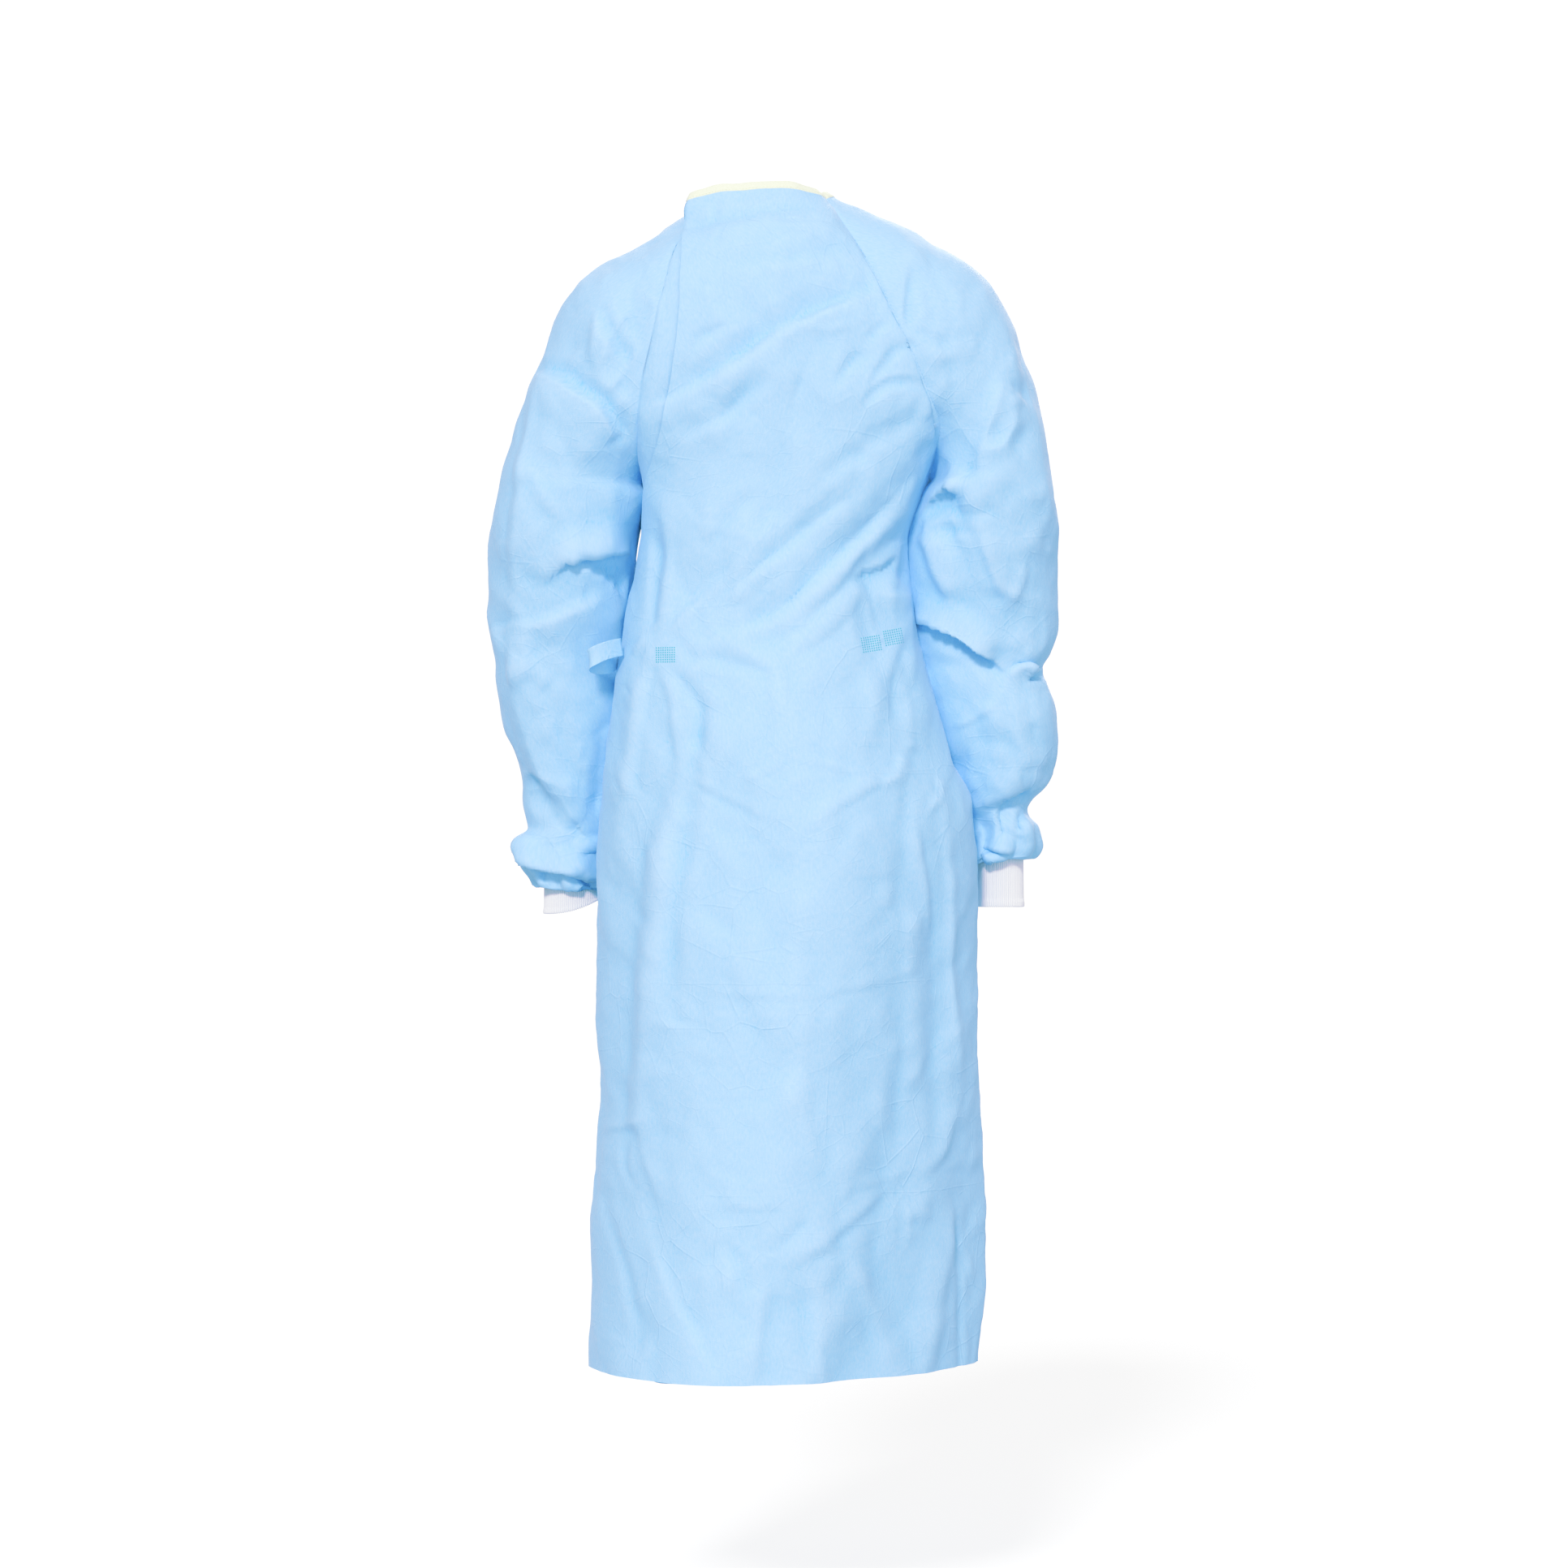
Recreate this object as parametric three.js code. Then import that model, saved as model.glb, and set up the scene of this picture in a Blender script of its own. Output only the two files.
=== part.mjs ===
// A long surgical gown of thin non-woven cloth, in the form it has when it is worn.
// Millimetres, +Z up. -Y is the back, +Y the front, +X the wearer's right.
// The origin is the middle of the neck opening, at the height of the nape.
import * as THREE from 'three';
import { mergeVertices } from 'three/addons/utils/BufferGeometryUtils.js';

// Walls and gaps
const CLOTH_WALL = 1.5;
const CUFF_WALL = 2.2;
const SEAM_GAP = 0.4;
// A rim that turns a corner is drawn back further; two unit edge directions add up to less there
const CORNER_GAP = 0.7;
const CORNER_TURN = 1.85;
const CUFF_GAP = 0.8;
const TIE_WALL = 1.4;
const TIE_WIDTH = 18;
const BINDING_HEIGHT = 8;
const BINDING_WALL = 2.0;

// The over back lies this far off the under back, and a little further along its free edge
const OVERLAP_LIFT = 3.4;
const EDGE_LIFT = 1.6;
const UNDER_END = 0.3;
const LIFT_START = 0.75;
// Where the over back hides it, the under back is plain and hangs this far further in
const UNDER_INSET = 13;

// Rows of the body run from the neck, through the armpit, to the hem
const ARMPIT = 6;
const HEM = 15;

// Raglan seams of the back, neck to armpit, one row for each section: X, Y and Z of each seam
const BACK_SEAMS = [
  { left: [-72, -37, -15], right: [45, -40, -10] },
  { left: [-106, -75, -58], right: [82, -75, -64] },
  { left: [-116, -95, -103], right: [107, -95, -113] },
  { left: [-126, -100, -149], right: [124, -100, -149] },
  { left: [-138, -94, -203], right: [147, -92, -203] },
  { left: [-141, -72, -252], right: [160, -68, -244] },
  { left: [-137, -6, -297], right: [152, -6, -290] },
];

// Raglan seams of the front, neck to armpit
const FRONT_SEAMS = [
  { left: [-68, 40, -40], right: [50, 40, -38] },
  { left: [-88, 70, -75], right: [84, 70, -75] },
  { left: [-102, 90, -112], right: [100, 90, -112] },
  { left: [-115, 100, -152], right: [115, 100, -152] },
  { left: [-128, 98, -198], right: [130, 98, -198] },
  { left: [-138, 76, -248], right: [146, 74, -246] },
  { left: [-137, -6, -297], right: [152, -6, -290] },
];

// Side seams, armpit to hem
const SIDE_SEAMS = [
  { left: [-137, -6, -297], right: [152, -6, -290] },
  { left: [-147, -8, -357], right: [131, -8, -355] },
  { left: [-154, -8, -425], right: [136, -8, -425] },
  { left: [-160, -8, -490], right: [152, -8, -490] },
  { left: [-168, -6, -560], right: [170, -4, -560] },
  { left: [-176, -4, -625], right: [194, 0, -625] },
  { left: [-180, 0, -715], right: [201, 5, -715] },
  { left: [-183, 0, -850], right: [203, 10, -850] },
  { left: [-187, 0, -1000], right: [208, 15, -1000] },
  { left: [-193, 0, -1182], right: [206, 20, -1182] },
];

// Middle of the back, neck to hem: depth is its Y, rise how far it stands above the seams' line,
// round how full the section is, lean how far its fullness sits towards the left, edge the X of
// the over back's free edge
const BACK_SHAPE = [
  { depth: -62, rise: 10, round: 1.6, lean: 0, edge: -95 },
  { depth: -97, rise: 5, round: 1.3, lean: 0, edge: -98 },
  { depth: -110, rise: 2, round: 1.4, lean: 0, edge: -98 },
  { depth: -115, rise: 0, round: 1.4, lean: 0, edge: -101 },
  { depth: -117, rise: 0, round: 1.5, lean: 0, edge: -110 },
  { depth: -116, rise: 0, round: 1.8, lean: 0, edge: -119 },
  { depth: -115, rise: 0, round: 2.2, lean: 0, edge: -131 },
  { depth: -112, rise: 0, round: 2.2, lean: 0, edge: -144 },
  { depth: -110, rise: 0, round: 2.2, lean: 0, edge: -153 },
  { depth: -122, rise: 0, round: 2.1, lean: 0, edge: -159 },
  { depth: -138, rise: 0, round: 2.0, lean: 0, edge: -166 },
  { depth: -148, rise: 0, round: 1.8, lean: 0, edge: -174 },
  { depth: -154, rise: 0, round: 1.7, lean: 0.05, edge: -178 },
  { depth: -160, rise: 0, round: 1.5, lean: 0.1, edge: -181 },
  { depth: -168, rise: 0, round: 1.35, lean: 0.18, edge: -187 },
  { depth: -182, rise: 0, round: 1.2, lean: 0.25, edge: -190 },
];

// Middle of the front, neck to hem
const FRONT_SHAPE = [
  { depth: 72, rise: -33, round: 1.5, lean: 0 },
  { depth: 92, rise: -23, round: 1.3, lean: 0 },
  { depth: 106, rise: -14, round: 1.4, lean: 0 },
  { depth: 118, rise: -8, round: 1.4, lean: 0 },
  { depth: 124, rise: -3, round: 1.5, lean: 0 },
  { depth: 126, rise: 0, round: 1.8, lean: 0 },
  { depth: 125, rise: 0, round: 2.2, lean: 0 },
  { depth: 120, rise: 0, round: 2.2, lean: 0 },
  { depth: 116, rise: 0, round: 2.2, lean: 0 },
  { depth: 124, rise: 0, round: 2.1, lean: 0 },
  { depth: 134, rise: 0, round: 2.0, lean: 0 },
  { depth: 140, rise: 0, round: 1.9, lean: 0 },
  { depth: 146, rise: 0, round: 1.8, lean: 0 },
  { depth: 152, rise: 0, round: 1.8, lean: 0.05 },
  { depth: 158, rise: 0, round: 1.7, lean: 0.1 },
  { depth: 165, rise: 0, round: 1.7, lean: 0.1 },
];

// The over back's top corner stands off the left shoulder
const NECK_CORNER = { x: -89, y: -50, z: -15 };
const CORNER_REACH = 0.7;

// Sleeves: outer is the X of the arm's outer edge, wide the half width, y the middle's Y,
// back and front the half depths. The first seven rows are the cap, open at the raglan seams.
const SLEEVE_RIGHT = [
  { outer: 56, wide: 18, y: 3, z: -5, back: 44, front: 38 },
  { outer: 120, wide: 40, y: 3, z: -30, back: 78, front: 68 },
  { outer: 174, wide: 68, y: 3, z: -62, back: 98, front: 88 },
  { outer: 215, wide: 90, y: 4, z: -99, back: 104, front: 97 },
  { outer: 247, wide: 92, y: 6, z: -161, back: 99, front: 94 },
  { outer: 266, wide: 78, y: 6, z: -226, back: 90, front: 88 },
  { outer: 277, wide: 62.5, y: 6, z: -290, back: 82, front: 80 },
  { outer: 285, wide: 77, y: 16, z: -352, back: 80, front: 76 },
  { outer: 285, wide: 74.7, y: 24, z: -415, back: 72, front: 73 },
  { outer: 276, wide: 65.5, y: 28, z: -462, back: 64, front: 69 },
  { outer: 267, wide: 59, y: 30, z: -481, back: 58, front: 67 },
  { outer: 280, wide: 60, y: 33, z: -514, back: 61, front: 68 },
  { outer: 284, wide: 58, y: 38, z: -545, back: 62, front: 66 },
  { outer: 273, wide: 44.5, y: 46, z: -591, back: 54, front: 60 },
  { outer: 254, wide: 30, y: 52, z: -622, back: 44, front: 48 },
  { outer: 263, wide: 32.5, y: 54, z: -640, back: 45, front: 48 },
  { outer: 266, wide: 33, y: 56, z: -657, back: 41, front: 44 },
  { outer: 258, wide: 31.5, y: 57, z: -671, back: 37, front: 38 },
  { outer: 249.5, wide: 23.5, y: 57, z: -667.5, back: 27, front: 28 },
];
const SLEEVE_LEFT = [
  { outer: -80, wide: 20, y: 3, z: -11, back: 44, front: 40 },
  { outer: -126, wide: 36, y: 3, z: -42, back: 86, front: 68 },
  { outer: -174, wide: 66, y: 3, z: -67, back: 99, front: 88 },
  { outer: -213, wide: 88, y: 4, z: -103, back: 104, front: 97 },
  { outer: -243, wide: 92, y: 6, z: -172, back: 100, front: 94 },
  { outer: -265, wide: 84, y: 6, z: -236, back: 90, front: 88 },
  { outer: -281, wide: 72, y: 6, z: -297, back: 82, front: 80 },
  { outer: -290, wide: 71, y: 14, z: -360, back: 80, front: 78 },
  { outer: -290, wide: 67.5, y: 22, z: -425, back: 72, front: 74 },
  { outer: -288, wide: 63, y: 26, z: -465, back: 64, front: 70 },
  { outer: -284, wide: 59.5, y: 31, z: -512, back: 60, front: 68 },
  { outer: -275, wide: 52.5, y: 36, z: -550, back: 58, front: 64 },
  { outer: -265, wide: 45.5, y: 42, z: -591, back: 54, front: 60 },
  { outer: -262, wide: 42.5, y: 47, z: -617, back: 50, front: 56 },
  { outer: -256, wide: 38.5, y: 50, z: -640, back: 46, front: 50 },
  { outer: -267, wide: 43.5, y: 52, z: -656, back: 47, front: 50 },
  { outer: -264, wide: 41.5, y: 54, z: -677, back: 43, front: 46 },
  { outer: -256, wide: 36.5, y: 56, z: -692, back: 37, front: 40 },
  { outer: -251, wide: 36, y: 57, z: -702, back: 36, front: 38 },
  { outer: -240, wide: 27.5, y: 57, z: -698, back: 28, front: 29 },
];
const GATHER_WAVES = 7;
const GATHER_DEPTH = 3.2;
const GATHER_ROWS = 4;

// Cuffs: length on the outer side, and how far the hem rises on the side of the body
const CUFF_RIGHT = { length: 53, rise: 0, flare: 0.5 };
const CUFF_LEFT = { length: 30, rise: 14, flare: 0.5 };
const CUFF_ROWS = 3;

// Folds, largest first: path in X and Z, width across the fold, height out (troughs are below 0)
const BACK_FOLDS = [
  { path: [[150, -280], [86, -347], [0, -424], [-58, -452]], width: 18, height: -9 },
  { path: [[138, -318], [64, -390], [0, -440]], width: 16, height: 6 },
  { path: [[127, -350], [122, -385], [118, -420]], width: 20, height: -12 },
  { path: [[-121, -459], [-63, -404], [16, -347]], width: 16, height: 6 },
  { path: [[-112, -215], [-1, -150], [92, -101]], width: 20, height: -5 },
  { path: [[-75, -270], [35, -227], [125, -158]], width: 20, height: -5 },
  { path: [[-124, -470], [-132, -500], [-146, -545]], width: 16, height: 6 },
  { path: [[19, -648], [91, -596], [128, -560]], width: 20, height: 7 },
  { path: [[160, -582], [158, -620], [168, -700], [170, -750]], width: 18, height: -8 },
  { path: [[150, -709], [172, -767], [179, -903], [183, -1182]], width: 16, height: 6 },
  { path: [[172, -985], [158, -1080], [140, -1200]], width: 24, height: -12 },
  { path: [[-5, -1068], [47, -1042], [116, -993]], width: 16, height: -7 },
  { path: [[69, -1050], [86, -1110], [105, -1200]], width: 20, height: 7 },
  { path: [[-12, -1058], [-20, -1110], [-28, -1200]], width: 22, height: -8 },
  { path: [[-123, -1030], [-92, -1100], [-60, -1200]], width: 26, height: 9 },
  { path: [[-119, -760], [-135, -858], [-139, -929]], width: 20, height: -6 },
  { path: [[-180, -990], [-160, -1050], [-144, -1110]], width: 20, height: -7 },
  { path: [[-221, -383], [-202, -366], [-157, -361]], width: 15, height: 9 },
  { path: [[-225, -408], [-200, -398], [-165, -395]], width: 15, height: -9 },
  { path: [[-235, -182], [-200, -205], [-159, -228]], width: 18, height: 6 },
  { path: [[-239, -194], [-259, -300], [-266, -420], [-250, -560]], width: 14, height: 5 },
  { path: [[145, -326], [169, -300], [200, -262]], width: 16, height: 8 },
  { path: [[150, -350], [190, -330], [226, -290]], width: 18, height: -8 },
  { path: [[135, -427], [165, -433], [212, -459], [262, -482]], width: 14, height: -9 },
  { path: [[180, -545], [210, -520], [240, -500]], width: 16, height: 6 },
];
const FRONT_FOLDS = [
  { path: [[120, -300], [60, -380], [-40, -440], [-90, -462]], width: 20, height: -7 },
  { path: [[-100, -470], [-60, -540], [-30, -640]], width: 22, height: -6 },
  { path: [[-110, -480], [-120, -560], [-118, -660]], width: 22, height: 6 },
  { path: [[90, -620], [110, -800], [128, -1200]], width: 28, height: 10 },
  { path: [[20, -700], [30, -900], [44, -1200]], width: 26, height: -8 },
  { path: [[-60, -720], [-76, -920], [-92, -1200]], width: 28, height: 9 },
  { path: [[-90, -130], [0, -190], [90, -140]], width: 24, height: -5 },
  { path: [[-250, -330], [-210, -370], [-170, -350]], width: 16, height: 7 },
  { path: [[250, -350], [210, -390], [160, -370]], width: 16, height: 7 },
  { path: [[-260, -430], [-220, -460], [-180, -440]], width: 16, height: -7 },
  { path: [[250, -440], [215, -470], [170, -450]], width: 16, height: -7 },
];

// Ties: the height they lie at, how far they stand off the cloth, and where the knot sits,
// measured round the front from -1 at the left side seam to 0 in the middle
const TIE_LEVEL = -466;
const TIE_CLEAR = 1.0;
const TIE_SIDE_CLEAR = 1.4;
const KNOT_PLACE = -0.62;
const FRONT_TIE_START = -0.28;
const KNOT = { along: 12, up: 12, out: 7 };
// Tails of the knot: drift is how far the end swings to the side, off how far it lies off the cloth
const TAIL_LONG = { length: 190, drift: -16, twist: 0.5, off: 3.0 };
const TAIL_SHORT = { length: 150, drift: 20, twist: -0.4, off: 5.4 };
const TAIL_APART = 5;
const FRONT_HALF = 150;
// Middle line of the loop that comes out past the free edge: X, Y and height from the tie's level
const TIE_LOOP = [
  { x: -160.5, y: -52, up: 6 },
  { x: -171, y: -61, up: 5 },
  { x: -181, y: -67, up: 2 },
  { x: -188, y: -65, up: 0 },
  { x: -189, y: -57, up: -1 },
  { x: -183, y: -50, up: -1 },
  { x: -173, y: -44, up: 0 },
  { x: -165, y: -33, up: 0 },
];

// Grid steps
const CAP_STEPS = 12;
const WAIST_STEPS = 17;
const SKIRT_STEPS = 12;
const SKIRT = 12;
const OVER_COLUMNS = 20;
const UNDER_COLUMNS = 7;
const FRONT_COLUMNS = 12;
const SLEEVE_COLUMNS = 28;
const SLEEVE_STEPS = 17;

const mix = THREE.MathUtils.lerp;
const smoothstep = THREE.MathUtils.smoothstep;

// Value of a table's column at a row number, on a monotone cubic through its rows
function column(table, name, at) {
  const last = table.length - 1;
  const i = Math.min(Math.max(Math.floor(at), 0), last - 1);
  const t = at - i;
  const value = (k) => table[k][name];
  const step = (k) => value(k + 1) - value(k);
  const slope = (k) => {
    if (k === 0) return step(0);
    if (k === last) return step(last - 1);
    const before = step(k - 1);
    const after = step(k);
    return before * after <= 0 ? 0 : (2 * before * after) / (before + after);
  };
  const t2 = t * t;
  const t3 = t2 * t;
  return (
    (2 * t3 - 3 * t2 + 1) * value(i) +
    (t3 - 2 * t2 + t) * slope(i) +
    (3 * t2 - 2 * t3) * value(i + 1) +
    (t3 - t2) * slope(i + 1)
  );
}

// Point of a seam table at a row number
function seamPoint(table, side, at) {
  const axes = [0, 1, 2].map((axis) => {
    const rows = table.map((row) => ({ value: row[side][axis] }));
    return column(rows, 'value', at);
  });
  return new THREE.Vector3(...axes);
}

// Seam of the body on one side, at a row of the body
function bodySeam(raglan, side, row) {
  if (row <= ARMPIT) return seamPoint(raglan, side, row);
  return seamPoint(SIDE_SEAMS, side, row - ARMPIT);
}

// Point of a body section: across runs from -1 at the left seam to 1 at the right seam
function bodyPoint(raglan, shape, row, across) {
  const left = bodySeam(raglan, 'left', row);
  const right = bodySeam(raglan, 'right', row);
  const point = left.clone().lerp(right, (across + 1) / 2);
  const lean = column(shape, 'lean', row);
  const w = (across + lean) / (1 + lean * across);
  const full = Math.max(0, 1 - w * w) ** (1 / column(shape, 'round', row));
  point.y += (column(shape, 'depth', row) - point.y) * full;
  point.z += column(shape, 'rise', row) * full;
  return point;
}

const backPoint = (row, across) => bodyPoint(BACK_SEAMS, BACK_SHAPE, row, across);
const frontPoint = (row, across) => bodyPoint(FRONT_SEAMS, FRONT_SHAPE, row, across);

// Body rows that every panel shares, so that their seams meet
function bodyRows() {
  const rows = [];
  for (let i = 0; i <= CAP_STEPS; i++) rows.push((ARMPIT * i) / CAP_STEPS);
  for (let i = 1; i <= WAIST_STEPS; i++) rows.push(mix(ARMPIT, SKIRT, i / WAIST_STEPS));
  for (let i = 1; i <= SKIRT_STEPS; i++) rows.push(mix(SKIRT, HEM, i / SKIRT_STEPS));
  return rows;
}

// Row of the body at a height, on its back's middle line
function rowAt(z) {
  let low = ARMPIT;
  let high = HEM;
  for (let i = 0; i < 30; i++) {
    const middle = (low + high) / 2;
    if (seamPoint(SIDE_SEAMS, 'left', middle - ARMPIT).z > z) low = middle;
    else high = middle;
  }
  return low;
}

// Position across a section for a share of the way from one place to another, closer together
// towards the side seams, where the section turns
function spread(from, to, share) {
  return Math.sin(mix(Math.asin(from), Math.asin(to), share));
}

// Position across the back of the over back's free edge
function edgeAcross(row) {
  const left = bodySeam(BACK_SEAMS, 'left', row).x;
  const right = bodySeam(BACK_SEAMS, 'right', row).x;
  const x = column(BACK_SHAPE, 'edge', row) + EDGE_LIFT;
  return Math.max(-1, (2 * (x - left)) / (right - left) - 1);
}

// One row of a sleeve: column 0 is the back seam or the inner side, the last column the front
function sleevePoint(table, side, row, share) {
  const sign = side === 'right' ? 1 : -1;
  const wide = column(table, 'wide', row);
  const middle = new THREE.Vector3(
    column(table, 'outer', row) - sign * wide,
    column(table, 'y', row),
    column(table, 'z', row),
  );
  const onSection = (angle) => {
    const depth = column(table, angle > 0 ? 'back' : 'front', row);
    const x = middle.x + sign * wide * Math.cos(angle);
    return new THREE.Vector3(x, middle.y - depth * Math.sin(angle), middle.z);
  };
  if (row > ARMPIT) {
    return gathered(table, onSection, middle, row, Math.PI * (1 - 2 * share));
  }
  const ends = [seamPoint(BACK_SEAMS, side, row), seamPoint(FRONT_SEAMS, side, row)];
  const angles = ends.map((end, i) => {
    const depth = column(table, i === 0 ? 'back' : 'front', row);
    const angle = Math.atan2((middle.y - end.y) / depth, (sign * (end.x - middle.x)) / wide);
    return i === 0 ? Math.abs(angle) : -Math.abs(angle);
  });
  if (row === ARMPIT) {
    angles[0] = Math.PI;
    angles[1] = -Math.PI;
  }
  const angle = mix(angles[0], angles[1], share);
  const which = angle > 0 ? 0 : 1;
  const turn = Math.abs(angle / angles[which]);
  const point = onSection(angle);
  const miss = ends[which].clone().sub(onSection(angles[which]));
  point.x += miss.x * turn ** 3;
  point.y += miss.y * turn ** 3;
  point.z += miss.z * (1 - Math.cos((Math.PI * turn) / 2));
  return point;
}

// Gathers above the cuff: radial waves that are deepest where the sleeve blouses
function gathered(table, onSection, middle, row, angle) {
  const point = onSection(angle);
  const last = table.length - 1;
  const share = (row - (last - GATHER_ROWS)) / GATHER_ROWS;
  if (share <= 0) return point;
  const depth = GATHER_DEPTH * Math.sin(Math.PI * share);
  const out = point.clone().sub(middle).setZ(0).normalize();
  return point.addScaledVector(out, depth * Math.cos(GATHER_WAVES * angle));
}

// A sheet is a grid of points; rows from closedFrom on join their last column to their first
function makeSheet(rows, columns, pointAt, closedFrom = Infinity) {
  const points = [];
  const index = rows.map((row) => {
    const line = [];
    for (let c = 0; c <= columns; c++) {
      if (c === columns && row >= closedFrom) {
        line.push(line[0]);
        continue;
      }
      line.push(points.length);
      points.push(pointAt(row, c / columns));
    }
    return line;
  });
  const faces = [];
  for (let r = 0; r + 1 < rows.length; r++) {
    for (let c = 0; c < columns; c++) {
      const [a, b] = [index[r][c], index[r][c + 1]];
      const [d, e] = [index[r + 1][c], index[r + 1][c + 1]];
      const first = points[a].distanceTo(points[e]) <= points[b].distanceTo(points[d]);
      const pair = first ? [[a, d, e], [a, e, b]] : [[a, d, b], [b, d, e]];
      faces.push(...pair.filter(([i, j, k]) => i !== j && j !== k && k !== i));
    }
  }
  return { points, faces, index };
}

// Turns a sheet's faces over where its normals point into the gown
function turnOver(sheet) {
  sheet.faces = sheet.faces.map(([a, b, c]) => [a, c, b]);
  return sheet;
}

const placeKey = (p) => [p.x, p.y, p.z].map((v) => v.toFixed(2)).join(' ');

// Normals of all sheets together, shared by points in the same place on a seam
function sharedNormals(sheets) {
  const sums = new Map();
  for (const { points, faces } of sheets) {
    for (const [a, b, c] of faces) {
      const ab = points[b].clone().sub(points[a]);
      const normal = ab.cross(points[c].clone().sub(points[a]));
      for (const i of [a, b, c]) {
        const key = placeKey(points[i]);
        if (!sums.has(key)) sums.set(key, new THREE.Vector3());
        sums.get(key).add(normal);
      }
    }
  }
  for (const sum of sums.values()) sum.normalize();
  for (const sheet of sheets) {
    sheet.normals = sheet.points.map((p) => sums.get(placeKey(p)).clone());
  }
}

// Height of one fold at a place seen from the back or front
function foldHeight(fold, x, z) {
  const lengths = fold.path.slice(1).map(([px, pz], i) =>
    Math.hypot(px - fold.path[i][0], pz - fold.path[i][1]));
  const total = lengths.reduce((sum, length) => sum + length, 0);
  let before = 0;
  let nearest = Infinity;
  let share = 0;
  lengths.forEach((length, i) => {
    const [ax, az] = fold.path[i];
    const [bx, bz] = fold.path[i + 1];
    const t = THREE.MathUtils.clamp(
      ((x - ax) * (bx - ax) + (z - az) * (bz - az)) / (length * length), 0, 1);
    const distance = Math.hypot(x - mix(ax, bx, t), z - mix(az, bz, t));
    if (distance < nearest) {
      nearest = distance;
      share = (before + t * length) / total;
    }
    before += length;
  });
  const fade = Math.sin(Math.PI * mix(0.12, 0.88, share)) ** 0.8;
  return fold.height * fade * Math.exp(-((nearest / fold.width) ** 2));
}

// Height of all folds together at a point of the skin, least where the skin turns to the side
function foldsAt(point, normal) {
  const folds = normal.y < 0 ? BACK_FOLDS : FRONT_FOLDS;
  const facing = smoothstep(Math.abs(normal.y), 0.05, 0.75);
  return facing * folds.reduce((sum, fold) => sum + foldHeight(fold, point.x, point.z), 0);
}

// Moves each point of the skin along its normal by the folds on its side
function addFolds(sheets) {
  for (const { points, normals } of sheets) {
    points.forEach((point, i) => point.addScaledVector(normals[i], foldsAt(point, normals[i])));
  }
}

// Edges that only one face of the sheet uses, in that face's direction, with its third corner
function rimEdges(faces) {
  const uses = new Map();
  for (const face of faces) {
    face.forEach((a, i) => {
      const b = face[(i + 1) % 3];
      const key = Math.min(a, b) + ' ' + Math.max(a, b);
      uses.set(key, uses.has(key) ? null : [a, b, face[(i + 2) % 3]]);
    });
  }
  return [...uses.values()].filter((edge) => edge);
}

// A closed mesh geometry from points and faces
function closedGeometry(points, faces) {
  const geometry = new THREE.BufferGeometry();
  const positions = points.flatMap((p) => [p.x, p.y, p.z]);
  geometry.setAttribute('position', new THREE.Float32BufferAttribute(positions, 3));
  geometry.setIndex(faces.flat());
  geometry.computeVertexNormals();
  return geometry;
}

// Gives a sheet its wall, inwards, and draws its rims back by half of the seam's gap
function thicken(sheet, wall) {
  const { points, normals, faces } = sheet;
  const rim = rimEdges(faces);
  const drawn = new Map();
  for (const [a, b, c] of rim) {
    const along = points[b].clone().sub(points[a]).normalize();
    const inward = points[c].clone().sub(points[a]);
    inward.addScaledVector(along, -inward.dot(along)).normalize();
    for (const i of [a, b]) {
      if (!drawn.has(i)) drawn.set(i, new THREE.Vector3());
      drawn.get(i).add(inward);
    }
  }
  const outer = points.map((p) => p.clone());
  for (const [i, inward] of drawn) {
    const back = inward.length() < CORNER_TURN ? CORNER_GAP : SEAM_GAP / 2;
    outer[i].addScaledVector(inward.normalize(), back);
  }
  const inner = outer.map((p, i) => p.clone().addScaledVector(normals[i], -wall));
  const n = points.length;
  const walls = faces.map(([a, b, c]) => [a + n, c + n, b + n]);
  const rims = rim.flatMap(([a, b]) => [[b, a, a + n], [b, a + n, b + n]]);
  return closedGeometry([...outer, ...inner], [...faces, ...walls, ...rims]);
}

// A flat band along stations, each with a place, a direction across its width and one out
function band(stations, wall) {
  const points = [];
  const faces = [];
  for (const { place, across, out, width } of stations) {
    for (const [w, t] of [[-0.5, 0.5], [0.5, 0.5], [0.5, -0.5], [-0.5, -0.5]]) {
      points.push(place.clone().addScaledVector(across, w * width).addScaledVector(out, t * wall));
    }
  }
  for (let s = 0; s + 1 < stations.length; s++) {
    for (let k = 0; k < 4; k++) {
      const a = 4 * s + k;
      const b = 4 * s + ((k + 1) % 4);
      faces.push([a, b, b + 4], [a, b + 4, a + 4]);
    }
  }
  const end = points.length - 4;
  faces.push([0, 3, 2], [0, 2, 1], [end, end + 1, end + 2], [end, end + 2, end + 3]);
  return closedGeometry(points, facingOut(points, faces));
}

// Faces turned so that the closed mesh they make has a positive volume
function facingOut(points, faces) {
  const volume = faces.reduce((sum, [a, b, c]) =>
    sum + points[a].dot(points[b].clone().cross(points[c])), 0);
  return volume > 0 ? faces : faces.map(([a, b, c]) => [a, c, b]);
}

// The skin: five cloth pieces on the body's rows and the sleeves' own
const rows = bodyRows();
const capRows = rows.filter((row) => row <= ARMPIT);

const overAcross = (row, share) => spread(edgeAcross(row), 1, share);
const overSheet = makeSheet(rows, OVER_COLUMNS, (row, share) =>
  backPoint(row, overAcross(row, share)));
const underSheet = makeSheet(rows, UNDER_COLUMNS, (row, share) =>
  backPoint(row, spread(-1, UNDER_END, share)));
const frontSheet = turnOver(makeSheet(rows, FRONT_COLUMNS, (row, share) =>
  frontPoint(row, spread(-1, 1, share))));

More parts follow.
